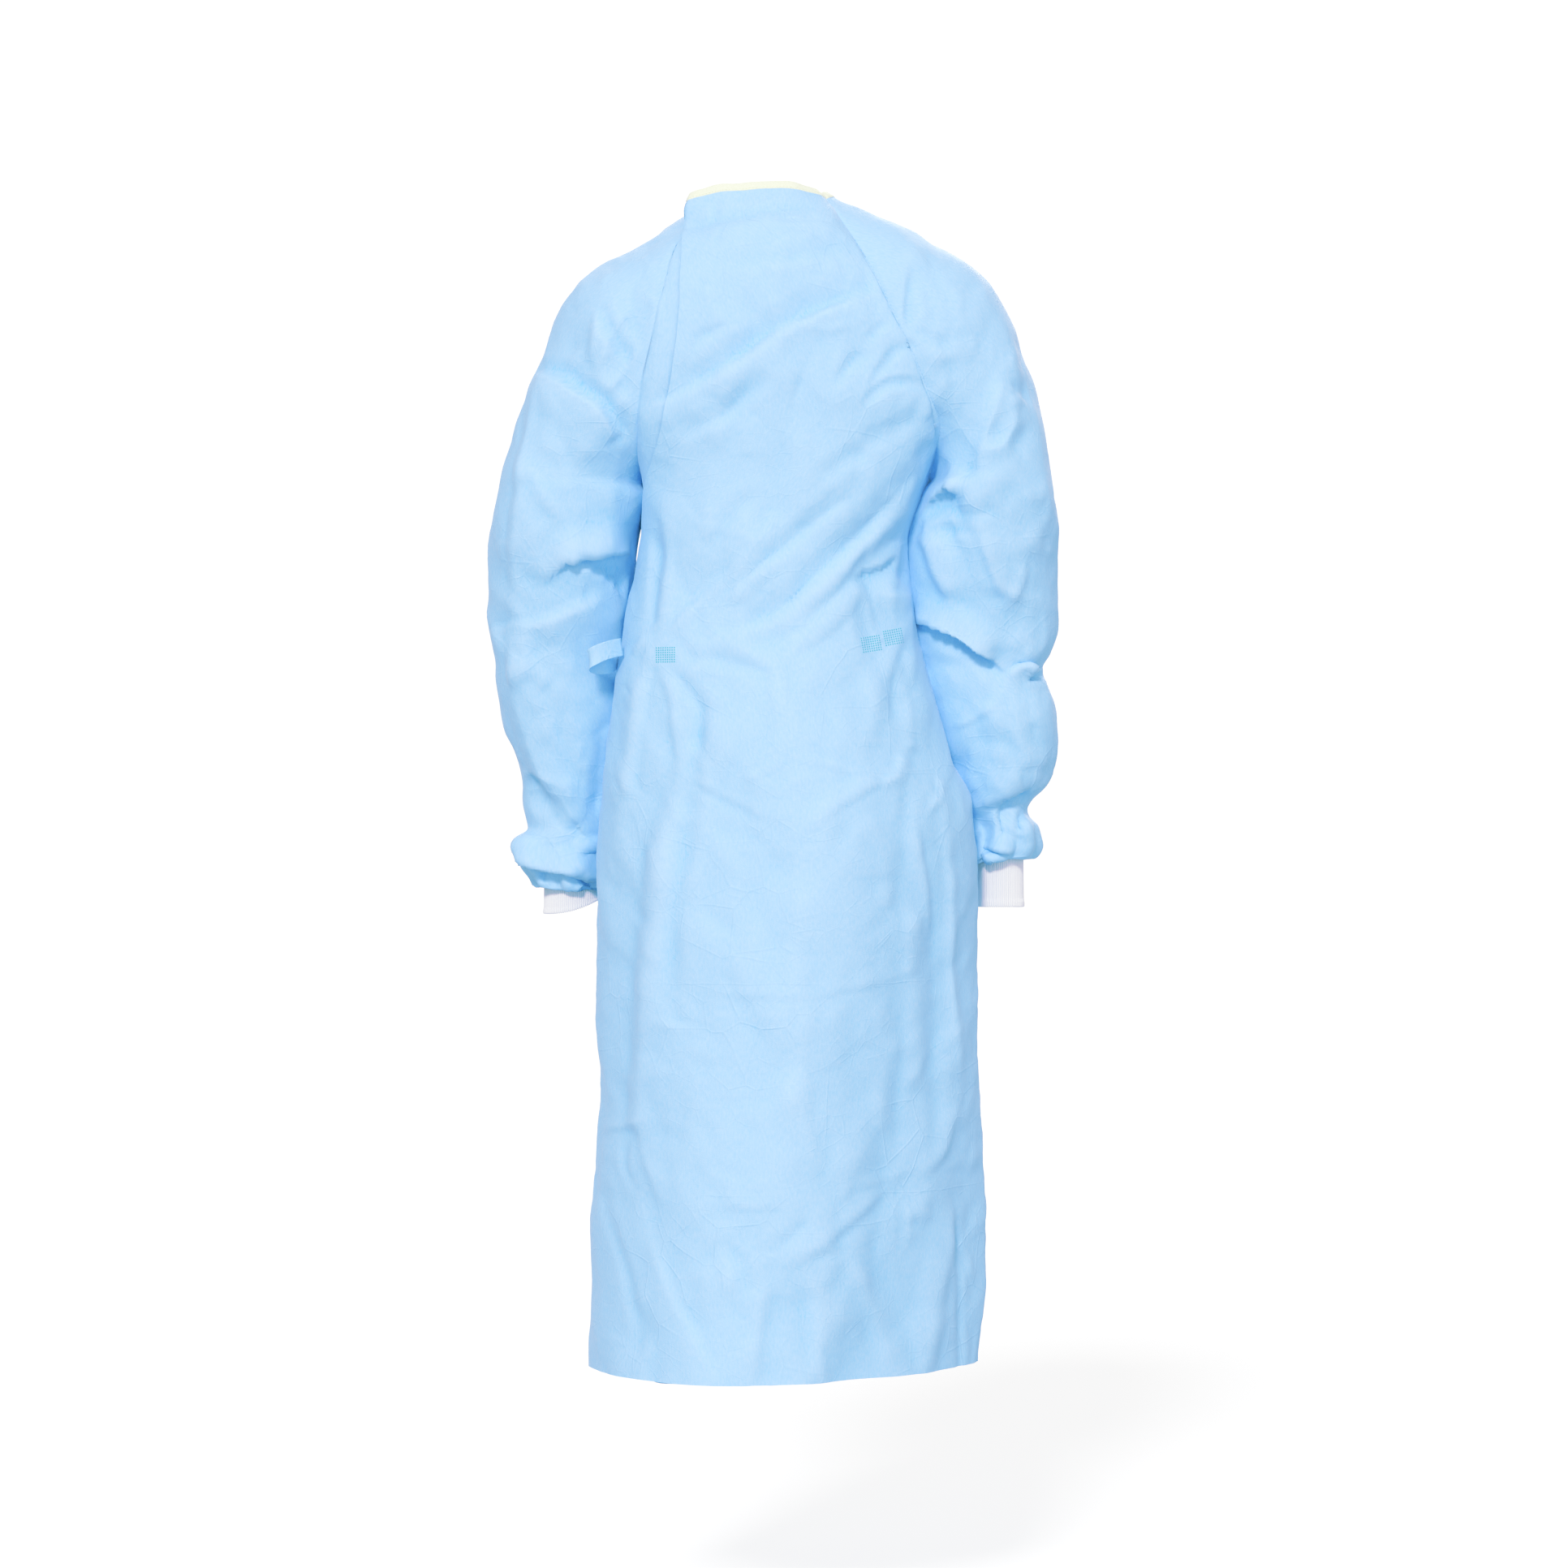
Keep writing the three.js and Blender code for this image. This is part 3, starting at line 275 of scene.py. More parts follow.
BACK_CREASES = [
    # Under the neck, and the two soft pulls between the shoulders
    crease([(-92, -40), (-65, -35), (-34, -29), (12, -24), (44, -18)], 6, 12, -3.0, 0.4),
    crease([(-67, -38), (-61, -26), (-56, -18)], 4, 6, -1.8, 0.8),
    crease([(-65, -64), (-59, -51), (-54, -39)], 3, 5, -1.4, 0.8),
    crease([(-82, -124), (-75, -104), (-70, -94)], 6, 8, -1.2, 0.8),
    crease([(-64, -80), (0, -77), (46, -67), (75, -63)], 16, 10, -3.0, 0.4, end=0.7),
    crease([(-109, -212), (-60, -185), (-29, -165), (0, -145), (27, -128), (53, -118), (96, -100)],
           24, 8, -6.0, 0.35, start=0.5, end=0.6),
    crease([(-98, -218), (-44, -189), (-22, -171), (4, -150), (32, -138), (56, -126), (95, -104)],
           6, 30, 3.5, 0.7),
    crease([(-104, -261), (-85, -245), (-56, -231), (-24, -205), (-4, -191)], 16, 12, -4.0, 0.3),
    # Pulls that end at the right raglan seam
    crease([(132, -160), (116, -167), (101, -185), (88, -207)], 7, 4, -2.8, 0.8, start=0.7,
           crosses=True),
    crease([(110, -136), (98, -146), (87, -158)], 6, 6, -2.2, 0.5),
    crease([(92, -171), (76, -176), (64, -189), (55, -205)], 7, 6, -2.6, 0.5),
    crease([(144, -199), (111, -199), (93, -211), (80, -227)], 8, 6, -3.0, 0.4, crosses=True),
    crease([(24, -190), (15, -220), (13, -239)], 3, 5, -1.4, 0.7),
    crease([(150, -209), (128, -239), (92, -259), (56, -283), (24, -311)], 12, 14, -3.0, 0.3,
           start=0.4),
    # Long pull from the right armpit down to the middle of the waist
    crease([(152, -272), (124, -298), (81, -346), (39, -387), (12, -416), (-11, -430), (-46, -453)],
           9, 20, -5.0, 0.5, start=0.6, crosses=True),
    crease([(144, -306), (104, -341), (66, -381), (36, -408), (12, -432), (-11, -442), (-55, -454)],
           16, 9, 4.2, 0.75, start=0.2, end=0.5),
    crease([(119, -341), (104, -356), (73, -387), (51, -408), (18, -433), (-3, -447)], 10, 9, -1.8,
           0.4),
    crease([(80, -303), (46, -328), (6, -361), (-14, -378), (-45, -403)], 8, 16, -3.4, 0.45),
    crease([(12, -370), (-13, -383), (-30, -400), (-44, -411), (-60, -413)], 10, 5, 2.5, 0.7),
    crease([(-8, -303), (-37, -321), (-57, -344), (-72, -375)], 12, 14, -3.0, 0.25),
    crease([(-28, -367), (-57, -398), (-83, -424), (-116, -457)], 8, 5, 2.8, 0.8, end=0.5),
    crease([(-57, -453), (-34, -465), (-12, -477), (-2, -491), (0, -519), (1, -547)], 12, 9, 3.0,
           0.5, start=0.6),
    crease([(-2, -484), (12, -465), (36, -447), (58, -427), (86, -392)], 14, 10, 3.0, 0.4),
    crease([(-100, -469), (-57, -474), (-29, -482), (-7, -492)], 12, 14, -3.5, 0.3),
    # Pocket at the right of the waist
    crease([(87, -388), (104, -383), (122, -368)], 3, 18, -6.0, 0.8, start=0.8),
    crease([(87, -388), (92, -405), (98, -427), (101, -455)], 16, 6, -2.6, 0.8, start=0.8),
    crease([(142, -347), (136, -379), (130, -402)], 12, 16, -17, 0.2, start=0.4),
    crease([(101, -409), (120, -408), (143, -406)], 6, 16, 3.0, 0.8),
    crease([(135, -439), (122, -471), (116, -503), (120, -543)], 12, 10, -4.0, 0.3),
    # Star round the left weld
    crease([(-110, -319), (-111, -426), (-119, -444), (-124, -461)], 10, 8, 3.5, 0.4),
    crease([(-123, -335), (-124, -432), (-122, -447)], 7, 8, -3.5, 0.3),
    crease([(-124, -462), (-134, -505), (-140, -542), (-154, -631)], 7, 14, 5.5, 0.8, start=0.3),
    crease([(-121, -473), (-109, -493), (-103, -517), (-102, -591)], 8, 7, 2.8, 0.6),
    crease([(-106, -481), (-88, -503), (-78, -531), (-90, -595)], 12, 10, -4.5, 0.35),
    crease([(-127, -449), (-136, -460), (-142, -468)], 5, 4, 2.6, 0.9),
    crease([(-150, -497), (-144, -504), (-138, -509)], 4, 4, -1.6, 0.8),
    # Hips
    crease([(-38, -595), (-9, -582), (5, -570)], 5, 4, 1.8, 0.9),
    crease([(20, -570), (57, -580), (90, -592)], 4, 6, 1.8, 0.9),
    crease([(-93, -592), (-53, -614), (-24, -629), (0, -638)], 4, 8, -1.8, 0.9),
    crease([(13, -484), (14, -527), (15, -567)], 2.5, 2.5, 1.0, 1),
    crease([(15, -567), (19, -718), (22, -861), (33, -1052)], 105, 70, 10.5, 0.9, start=0.3,
           end=0.4),
    crease([(15, -567), (19, -718), (22, -861), (33, -1052)], 4, 4, 0.9, 1, start=0.6, end=0.5),
    crease([(-126, -600), (-141, -700), (-150, -800), (-156, -940)], 16, 30, -6.0, 0.4, end=0.4),
    crease([(20, -648), (37, -633), (54, -619), (88, -599), (107, -594)], 18, 4, 3.2, 0.9,
           start=0.5, end=0.7),
    crease([(107, -594), (115, -587), (124, -564)], 5, 14, 4.5, 0.85, start=0.7),
    crease([(124, -559), (134, -558), (141, -560)], 4, 3, 1.5, 0.9),
    crease([(158, -582), (161, -605), (151, -619), (142, -631)], 5, 4, 2.4, 0.9),
    crease([(132, -626), (139, -665), (149, -714), (154, -758)], 5, 12, 3.6, 0.8),
    crease([(163, -612), (171, -690), (173, -734), (177, -827), (181, -907)], 8, 5, 3.4, 0.8),
    crease([(-93, -579), (-105, -615), (-113, -663), (-118, -718), (-129, -806), (-138, -929)],
           26, 16, 6.0, 0.8, end=0.6),
    crease([(-79, -575), (-90, -623), (-97, -671), (-106, -742), (-111, -830)], 16, 10, -4.0, 0.3),
    # Middle of the skirt
    crease([(-180, -943), (-163, -938), (-151, -936), (-140, -932)], 22, 4, 2.4, 0.9, start=0.8,
           end=0.8),
    crease([(-140, -933), (-136, -953), (-121, -996), (-117, -1020)], 16, 6, 2.4, 0.8, start=0.6),
    crease([(-151, -941), (-154, -965), (-152, -982), (-144, -995)], 4, 5, -2.4, 0.8),
    crease([(-88, -795), (-48, -801), (21, -804), (57, -798), (156, -776)], 14, 3, 1.2, 1),
    crease([(-128, -824), (-105, -834), (-74, -836)], 3, 10, 1.0, 1),
    crease([(40, -750), (48, -811), (67, -861), (81, -959)], 40, 26, -2.4, 0.7),
    crease([(112, -640), (120, -760), (120, -880), (116, -1010)], 20, 60, -4.5, 0.6),
    crease([(150, -660), (157, -760), (158, -860), (152, -975)], 14, 26, -6.0, 0.6),
    # Lower skirt
    crease([(-71, -1008), (-8, -1008), (10, -1004)], 12, 3, 1.1, 1),
    crease([(57, -995), (88, -989), (114, -985), (151, -970)], 12, 3, 1.2, 1),
    crease([(-5, -1070), (12, -1063), (42, -1044), (63, -1027), (91, -1008), (116, -991)],
           15, 4, 2.6, 0.9, start=0.2, end=0.3),
    crease([(40, -1058), (56, -1044), (77, -1027), (104, -1009)], 4, 15, -1.2, 0.7),
    crease([(29, -1017), (20, -1028), (7, -1042), (-1, -1052)], 5, 6, -3.0, 0.7),
    crease([(-26, -1068), (-13, -1059), (-5, -1062)], 4, 4, 1.6, 0.9),
    crease([(30, -1056), (52, -1057), (63, -1054), (70, -1048)], 3, 5, -1.8, 0.9),
    crease([(31, -1057), (35, -1102), (40, -1179)], 26, 8, 4.6, 0.8, end=0.7),
    crease([(-8, -1072), (-16, -1102), (-26, -1179)], 10, 26, 4.4, 0.7, end=0.7),
    crease([(70, -1051), (83, -1087), (104, -1140), (110, -1179)], 22, 14, 4.4, 0.7, end=0.7),
    crease([(118, -996), (122, -1020), (119, -1056)], 5, 4, -2.4, 0.6),
    crease([(128, -998), (133, -1020), (132, -1044)], 4, 4, -1.8, 0.6),
    crease([(179, -909), (169, -945), (159, -969), (133, -986)], 7, 16, 3.4, 0.8),
    crease([(175, -993), (172, -1044), (158, -1100), (140, -1185)], 9, 20, 5.0, 0.9, widen=1.6,
           end=1),
    crease([(177, -996), (181, -1077), (182, -1185)], 5, 7, -3.2, 0.8, end=1),
    crease([(185, -1062), (189, -1092), (194, -1108)], 4, 4, -1.6, 0.8),
    crease([(-126, -1036), (-101, -1097), (-84, -1125), (-47, -1187)], 34, 4, -3.4, 0.9,
           start=0.5, widen=1.5),
    crease([(-175, -1001), (-165, -1039), (-152, -1077), (-142, -1128), (-140, -1171)], 9, 5, -2.6,
           0.7),
    crease([(-186, -1145), (-163, -1147), (-142, -1151)], 3, 3, 1.0, 1),
    crease([(-180, -1000), (-184, -1090), (-188, -1200)], 64, 12, 8.0, 0.6, start=0.3, end=1),
]
LEFT_SLEEVE_CREASES = [
    crease([(-235, -182), (-218, -188), (-197, -202), (-178, -215), (-150, -248), (-140, -276)],
           16, 4, -5.0, 0.8, start=0.9),
    crease([(-236, -185), (-218, -195), (-197, -211), (-178, -224), (-157, -268)],
           5, 40, 6.9, 0.8, start=0.9),
    crease([(-232, -168), (-245, -220), (-252, -260), (-257, -310), (-266, -413)],
           30, 10, 6.9, 0.85),
    crease([(-178, -131), (-168, -149), (-157, -169), (-148, -181)], 12, 4, -4, 0.8, start=0.9),
    crease([(-178, -132), (-183, -156), (-187, -178)], 9, 9, 4.2, 0.7, start=0.8),
    crease([(-241, -288), (-233, -308), (-224, -320), (-211, -334)], 4, 12, 3.5, 0.8),
    crease([(-223, -381), (-215, -371), (-201, -365), (-170, -359), (-148, -365)],
           26, 4, 12.5, 0.7, lean=0.7, start=0.3, end=0.8),
    crease([(-200, -371), (-179, -381), (-157, -394), (-148, -418)], 12, 5, -10, 0.7, start=0.6,
           end=0.6),
    crease([(-268, -437), (-243, -436), (-218, -427), (-168, -404)], 5, 26, 6.2, 0.8, start=0.8),
    crease([(-267, -438), (-264, -462), (-262, -486), (-265, -502)], 22, 8, 5, 0.8),
    crease([(-263, -488), (-258, -527), (-245, -570), (-236, -590), (-211, -628)],
           30, 14, 8.1, 0.9, start=0.6, end=0.8),
    crease([(-258, -583), (-246, -611), (-232, -628)], 12, 14, -6.2, 0.4),
    crease([(-176, -527), (-181, -591), (-192, -648)], 12, 14, -5.6, 0.25),
    crease([(-208, -666), (-197, -659), (-176, -654)], 12, 4, 4.5, 0.8, end=0.8),
    crease([(-265, -653), (-258, -664), (-247, -672), (-210, -678), (-176, -686)],
           16, 4, 8.8, 0.8, lean=0.8, start=0.9, end=0.8),
    crease([(-205, -679), (-199, -690), (-189, -704)], 4, 9, -5.6, 0.8, start=0.8, end=0.6),
    crease([(-236, -677), (-239, -688), (-242, -698)], 6, 5, -4, 0.6),
    crease([(-218, -682), (-216, -693), (-213, -704)], 5, 5, 3.2, 0.6),
]
RIGHT_SLEEVE_CREASES = [
    crease([(125, -157), (127, -130), (133, -80)], 3, 14, -3.8, 0.8, start=0.8),
    crease([(144, -318), (152, -309), (159, -303), (169, -297), (176, -301), (178, -310)],
           22, 4, 11.2, 0.75, lean=0.7, start=0.8),
    crease([(150, -323), (162, -313), (171, -305)], 4, 18, -4.5, 0.8, start=0.7, end=0.5),
    crease([(197, -268), (191, -284), (184, -304), (178, -329)], 16, 8, -4.4, 0.8, start=0.6,
           end=0.8),
    crease([(196, -269), (184, -283), (175, -296)], 7, 12, 2.8, 0.8, start=0.8),
    crease([(226, -180), (206, -250), (178, -335)], 42, 12, 7.0, 0.85, start=0.3, end=0.5),
    crease([(178, -329), (191, -329), (204, -328), (221, -323)], 18, 4, -5.6, 0.8, start=0.8),
    crease([(197, -270), (210, -264), (226, -256), (239, -220)], 12, 14, 5, 0.6),
    crease([(145, -346), (160, -345), (175, -344), (200, -346)], 16, 4, -5.6, 0.85, start=0.9),
    crease([(145, -346), (151, -362), (158, -381), (167, -399), (175, -420)], 26, 8, 6.9, 0.85,
           start=0.9),
    crease([(201, -342), (205, -357), (210, -372), (218, -393), (228, -414)], 18, 6, 5, 0.8),
    crease([(228, -415), (237, -405), (244, -392), (246, -373)], 12, 6, 3.8, 0.7),
    crease([(137, -427), (148, -430), (162, -434), (183, -446), (204, -460), (220, -476)],
           26, 4, 11.9, 0.8, lean=0.6, start=0.6),
    crease([(162, -442), (183, -454), (204, -468), (225, -491)], 5, 16, -8.1, 0.5),
    crease([(267, -483), (255, -487), (247, -480), (239, -483), (230, -494)], 14, 6, 8.8, 0.8,
           lean=0.5, start=1),
    crease([(265, -488), (255, -491), (247, -488)], 6, 7, -12.5, 0.7, start=0.8),
    crease([(172, -538), (192, -532), (221, -513)], 5, 4, 2.5, 1),
    crease([(237, -523), (244, -556), (257, -590), (259, -611)], 16, 12, 4.5, 0.7),
    crease([(193, -621), (207, -615), (221, -608), (242, -603)], 14, 12, 6.2, 0.85),
    crease([(225, -619), (235, -612), (247, -606), (255, -603)], 4, 8, -6.9, 0.8),
    crease([(225, -619), (224, -636), (226, -654)], 14, 4, -6.2, 0.8, start=0.8),
    crease([(191, -626), (197, -638), (207, -649)], 6, 12, 5.6, 0.8),
    crease([(207, -651), (207, -664), (205, -677)], 12, 5, 6.2, 0.8, start=0.6, end=0.6),
    crease([(209, -655), (223, -659), (239, -663)], 12, 4, 5, 0.8, lean=0.5),
    crease([(208, -672), (220, -673), (234, -674)], 7, 4, 3.8, 0.8, lean=0.4),
    crease([(252, -623), (244, -633), (244, -648)], 6, 7, -5.6, 0.6),
]
# The front isn't shown, so it has creases like those of the back
FRONT_CREASES = [
    crease([(120, -300), (60, -380), (-40, -440), (-90, -462)], 16, 18, -8, 0.4, crosses=True),
    crease([(-118, -318), (-70, -380), (10, -430), (70, -452)], 12, 16, -6, 0.4, crosses=True),
    crease([(-100, -470), (-60, -540), (-30, -640)], 20, 14, -6, 0.4),
    crease([(-110, -480), (-120, -560), (-118, -660)], 16, 12, 6, 0.7, start=0.6),
    crease([(-92, -478), (-84, -560), (-90, -640)], 9, 14, 4, 0.8, start=0.6),
    crease([(90, -620), (110, -800), (128, -1200)], 26, 16, 9, 0.6, widen=1.5, end=1),
    crease([(20, -700), (30, -900), (44, -1200)], 22, 26, -8, 0.3, widen=1.4, end=1),
    crease([(-60, -720), (-76, -920), (-92, -1200)], 16, 24, 9, 0.6, widen=1.4, end=1),
    crease([(-90, -130), (0, -190), (90, -140)], 22, 12, -5, 0.4),
    crease([(-100, -190), (0, -250), (104, -200)], 22, 12, -4, 0.4),
    crease([(80, -500), (40, -530), (-10, -548)], 5, 14, 3.5, 0.8),
    crease([(100, -560), (70, -610), (20, -650)], 14, 5, 3.5, 0.8),
    crease([(-30, -860), (20, -852), (90, -868)], 5, 4, 1.6, 1),
    crease([(-120, -1010), (-40, -1000), (60, -1012), (130, -1000)], 4, 5, 1.6, 1),
    crease([(8, -520), (8, -700), (4, -900), (2, -1080)], 4, 8, 2.0, 0.9),
]
# Creases that both sleeves have on their front, given for the right one
SLEEVE_FRONT_CREASES = [
    crease([(250, -350), (210, -390), (160, -370)], 12, 16, 7, 0.7, start=0.5),
    crease([(250, -440), (215, -470), (170, -450)], 8, 22, -8, 0.6, start=0.6, end=0.6),
    crease([(256, -466), (222, -492), (178, -478)], 6, 24, 7, 0.8, start=0.6, end=0.6),
    crease([(240, -260), (200, -300), (168, -296)], 16, 6, 5, 0.8, start=0.4),
    crease([(250, -540), (224, -570), (206, -600)], 12, 16, -5, 0.5),
    crease([(196, -560), (212, -600), (240, -622)], 8, 18, 5, 0.8),
    crease([(180, -130), (200, -200), (214, -270)], 14, 18, -4, 0.3),
]


def mirrored(creases):
    """The same creases on the other side of the gown."""
    return [c._replace(path=[(-x, z) for x, z in c.path], left=c.right, right=c.left)
            for c in creases]


def small_creases(seed, count, x_reach, z_reach, height):
    """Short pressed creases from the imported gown's folding and from wear, in no order."""
    random = np.random.default_rng(seed)
    found = []
    for _ in range(count):
        x = random.uniform(*x_reach)
        z = random.uniform(*z_reach)
        angle = random.uniform(0, math.pi)
        length = random.uniform(18, 75)
        bend = random.uniform(-0.18, 0.18) * length
        along = np.array([math.cos(angle), math.sin(angle)])
        aside = np.array([-along[1], along[0]])
        middle = np.array([x, z])
        path = [middle - along * length / 2, middle + aside * bend, middle + along * length / 2]
        left, right = random.uniform(4, 22, 2)
        found.append(crease(path, left, right, random.choice([-1, 1]) * random.uniform(0.4, 1)
                            * height, random.uniform(0.6, 1)))
    return found


def crease_relief(c, x, z):
    """Height of a crease at places seen square on, and how far its crest hangs over in X and Z."""
    path = smooth_path(c.path, 4)
    start, step = path[:-1], np.diff(path, axis=0)
    length = np.linalg.norm(step, axis=1)
    before = np.concatenate([[0], np.cumsum(length)[:-1]])
    place = np.stack([x, z], axis=-1)[:, None]
    t = np.clip(((place - start) * step).sum(axis=-1) / length**2, 0, 1)
    gap = place - start - t[..., None] * step
    near = np.argmin((gap**2).sum(axis=-1), axis=1)
    each = np.arange(len(x))
    gap = gap[each, near]
    along = step[near] / length[near][:, None]
    share = (before[near] + t[each, near] * length[near]) / length.sum()
    side = along[:, 0] * gap[:, 1] - along[:, 1] * gap[:, 0]
    width = np.where(side > 0, c.left, c.right) * (1 + (c.widen - 1) * share)
    away = np.sqrt((gap**2).sum(axis=-1) + CREST**2) - CREST
    near_line = np.clip(1 - away / width, 0, 1)
    soft = near_line**2 * (3 - 2 * near_line)
    fade = (c.start + (1 - c.start) * smoothstep(share, 0, 0.3))
    fade = fade * (c.end + (1 - c.end) * smoothstep(1 - share, 0, 0.3))
    crisp = 0.3 + 0.7 * c.crisp
    height = c.height * fade * ((1 - crisp) * soft + crisp * near_line**1.15)
    towards = 1 if c.left < c.right else -1
    hang = (towards * c.lean * height)[:, None] * np.stack([-along[:, 1], along[:, 0]], axis=-1)
    return height, hang


# Noise

NOISE_SIDE = 64
FACET_STRETCH = 0.7


def gradient_noise(places, grain, seed):
    """Smooth noise between about -1 and 1, whose waves are a grain long, the same on each run."""
    random = np.random.default_rng(seed)
    slopes = unit(random.normal(size=(NOISE_SIDE**3, 3)))
    at = places / grain + NOISE_SIDE * 4
    cell = np.floor(at).astype(int)
    t = at - cell
    ease = t**3 * (t * (6 * t - 15) + 10)
    total = np.zeros(places.shape[:-1])
    for corner in np.ndindex(2, 2, 2):
        corner = np.array(corner)
        i = (cell + corner) % NOISE_SIDE
        slope = slopes[(i[..., 0] * NOISE_SIDE + i[..., 1]) * NOISE_SIDE + i[..., 2]]
        weight = np.where(corner == 1, ease, 1 - ease).prod(axis=-1)
        total += weight * (slope * (t - corner)).sum(axis=-1)
    return 1.6 * total


def facets(places, grain, seed):
    """Flat facets that meet at crisp lines, like paper that was crushed and let go, in -1 to 1."""
    random = np.random.default_rng(seed)
    heights = random.uniform(-1, 1, NOISE_SIDE**3)
    turn = np.linalg.qr(random.normal(size=(3, 3)))[0]
    bent = places + grain * 0.5 * np.stack(
        [gradient_noise(places, grain * 1.8, seed + k) for k in range(3)], axis=-1)
    at = (bent * (1, 1, FACET_STRETCH)) @ turn / grain + NOISE_SIDE * 8
    corner = np.floor(at).astype(int)
    t = at - corner
    order = np.argsort(-t, axis=-1)
    ranked = np.take_along_axis(t, order, axis=-1)
    ends = np.concatenate([np.ones(t.shape[:-1] + (1,)), ranked, np.zeros(t.shape[:-1] + (1,))],
                          axis=-1)
    total = np.zeros(t.shape[:-1])
    for k in range(4):
        i = corner % NOISE_SIDE
        height = heights[(i[..., 0] * NOISE_SIDE + i[..., 1]) * NOISE_SIDE + i[..., 2]]
        total += (ends[..., k] - ends[..., k + 1]) * height
        if k < 3:
            corner = corner + np.eye(3, dtype=int)[order[..., k]]
    return total


# The skin: grids of points, row by row, with what each needs to become cloth

class Sheet:
    """A grid of points with its outward side; rows from closed_from on are rings."""

    def __init__(self, places, turned=False, closed_from=None):
        self.places = places
        self.side = -1 if turned else 1
        self.closed_from = closed_from
        self.flat = places.copy()

    def cell_normals(self):
        p = self.places
        down = p[1:, :-1] + p[1:, 1:] - p[:-1, :-1] - p[:-1, 1:]
        across = p[:-1, 1:] + p[1:, 1:] - p[:-1, :-1] - p[1:, :-1]
        return self.side * np.cross(down, across) / 4

    def normal_sums(self):
        cells = self.cell_normals()
        sums = np.zeros_like(self.places)
        sums[:-1, :-1] += cells
        sums[:-1, 1:] += cells
        sums[1:, :-1] += cells
        sums[1:, 1:] += cells
        return sums


def share_normals(sheets):
    """Normals of all sheets together, shared where they meet on a seam."""
    places = np.concatenate([s.places.reshape(-1, 3) for s in sheets])
    sums = np.concatenate([s.normal_sums().reshape(-1, 3) for s in sheets])
    keys = np.round(places * 100).astype(np.int64) + 500000
    keys = (keys[:, 0] * 1000003 + keys[:, 1]) * 1000003 + keys[:, 2]
    _, which = np.unique(keys, return_inverse=True)
    total = np.zeros((which.max() + 1, 3))
    np.add.at(total, which, sums)
    normals = unit(total)[which]
    start = 0
    for s in sheets:
        count = s.places.shape[0] * s.places.shape[1]
        s.normals = normals[start:start + count].reshape(s.places.shape)
        start += count


def body_seam(raglan, side, rows):
    cap = column(raglan[side], np.minimum(rows, ARMPIT))
    below = column(SIDE_SEAMS[side], np.maximum(rows - ARMPIT, 0))
    return np.where((rows <= ARMPIT)[:, None], cap, below)


def body_places(raglan, shape, rows, across):
    """Places on the body, where across runs from -1 at the left seam to 1 at the right seam."""
    left = body_seam(raglan, "left", rows)[:, None]
    right = body_seam(raglan, "right", rows)[:, None]
    places = left + (right - left) * ((across + 1) / 2)[..., None]
    lean = column(shape["lean"], rows)[:, None]
    w = (across + lean) / (1 + lean * across)
    full = np.maximum(0, 1 - w * w) ** (1 / column(shape["round"], rows)[:, None])
    places[..., 1] += (column(shape["depth"], rows)[:, None] - places[..., 1]) * full
    places[..., 2] += column(shape["rise"], rows)[:, None] * full
    return places


def spread(start, end, columns):
    """Columns across a section, closer together towards the side seams, where it turns."""
    share = np.linspace(0, 1, columns + 1)
    start = np.asarray(start, float).reshape(-1, 1)
    return np.sin(np.arcsin(start) * (1 - share) + np.arcsin(end) * share)


def edge_across(rows):
    """Position across the back of the over back's free edge."""
    left = body_seam(BACK_SEAMS, "left", rows)[:, 0]
    right = body_seam(BACK_SEAMS, "right", rows)[:, 0]
    edge = column(BACK_SHAPE["edge"], rows) + EDGE_LIFT
    return np.maximum(-1, 2 * (edge - left) / (right - left) - 1)


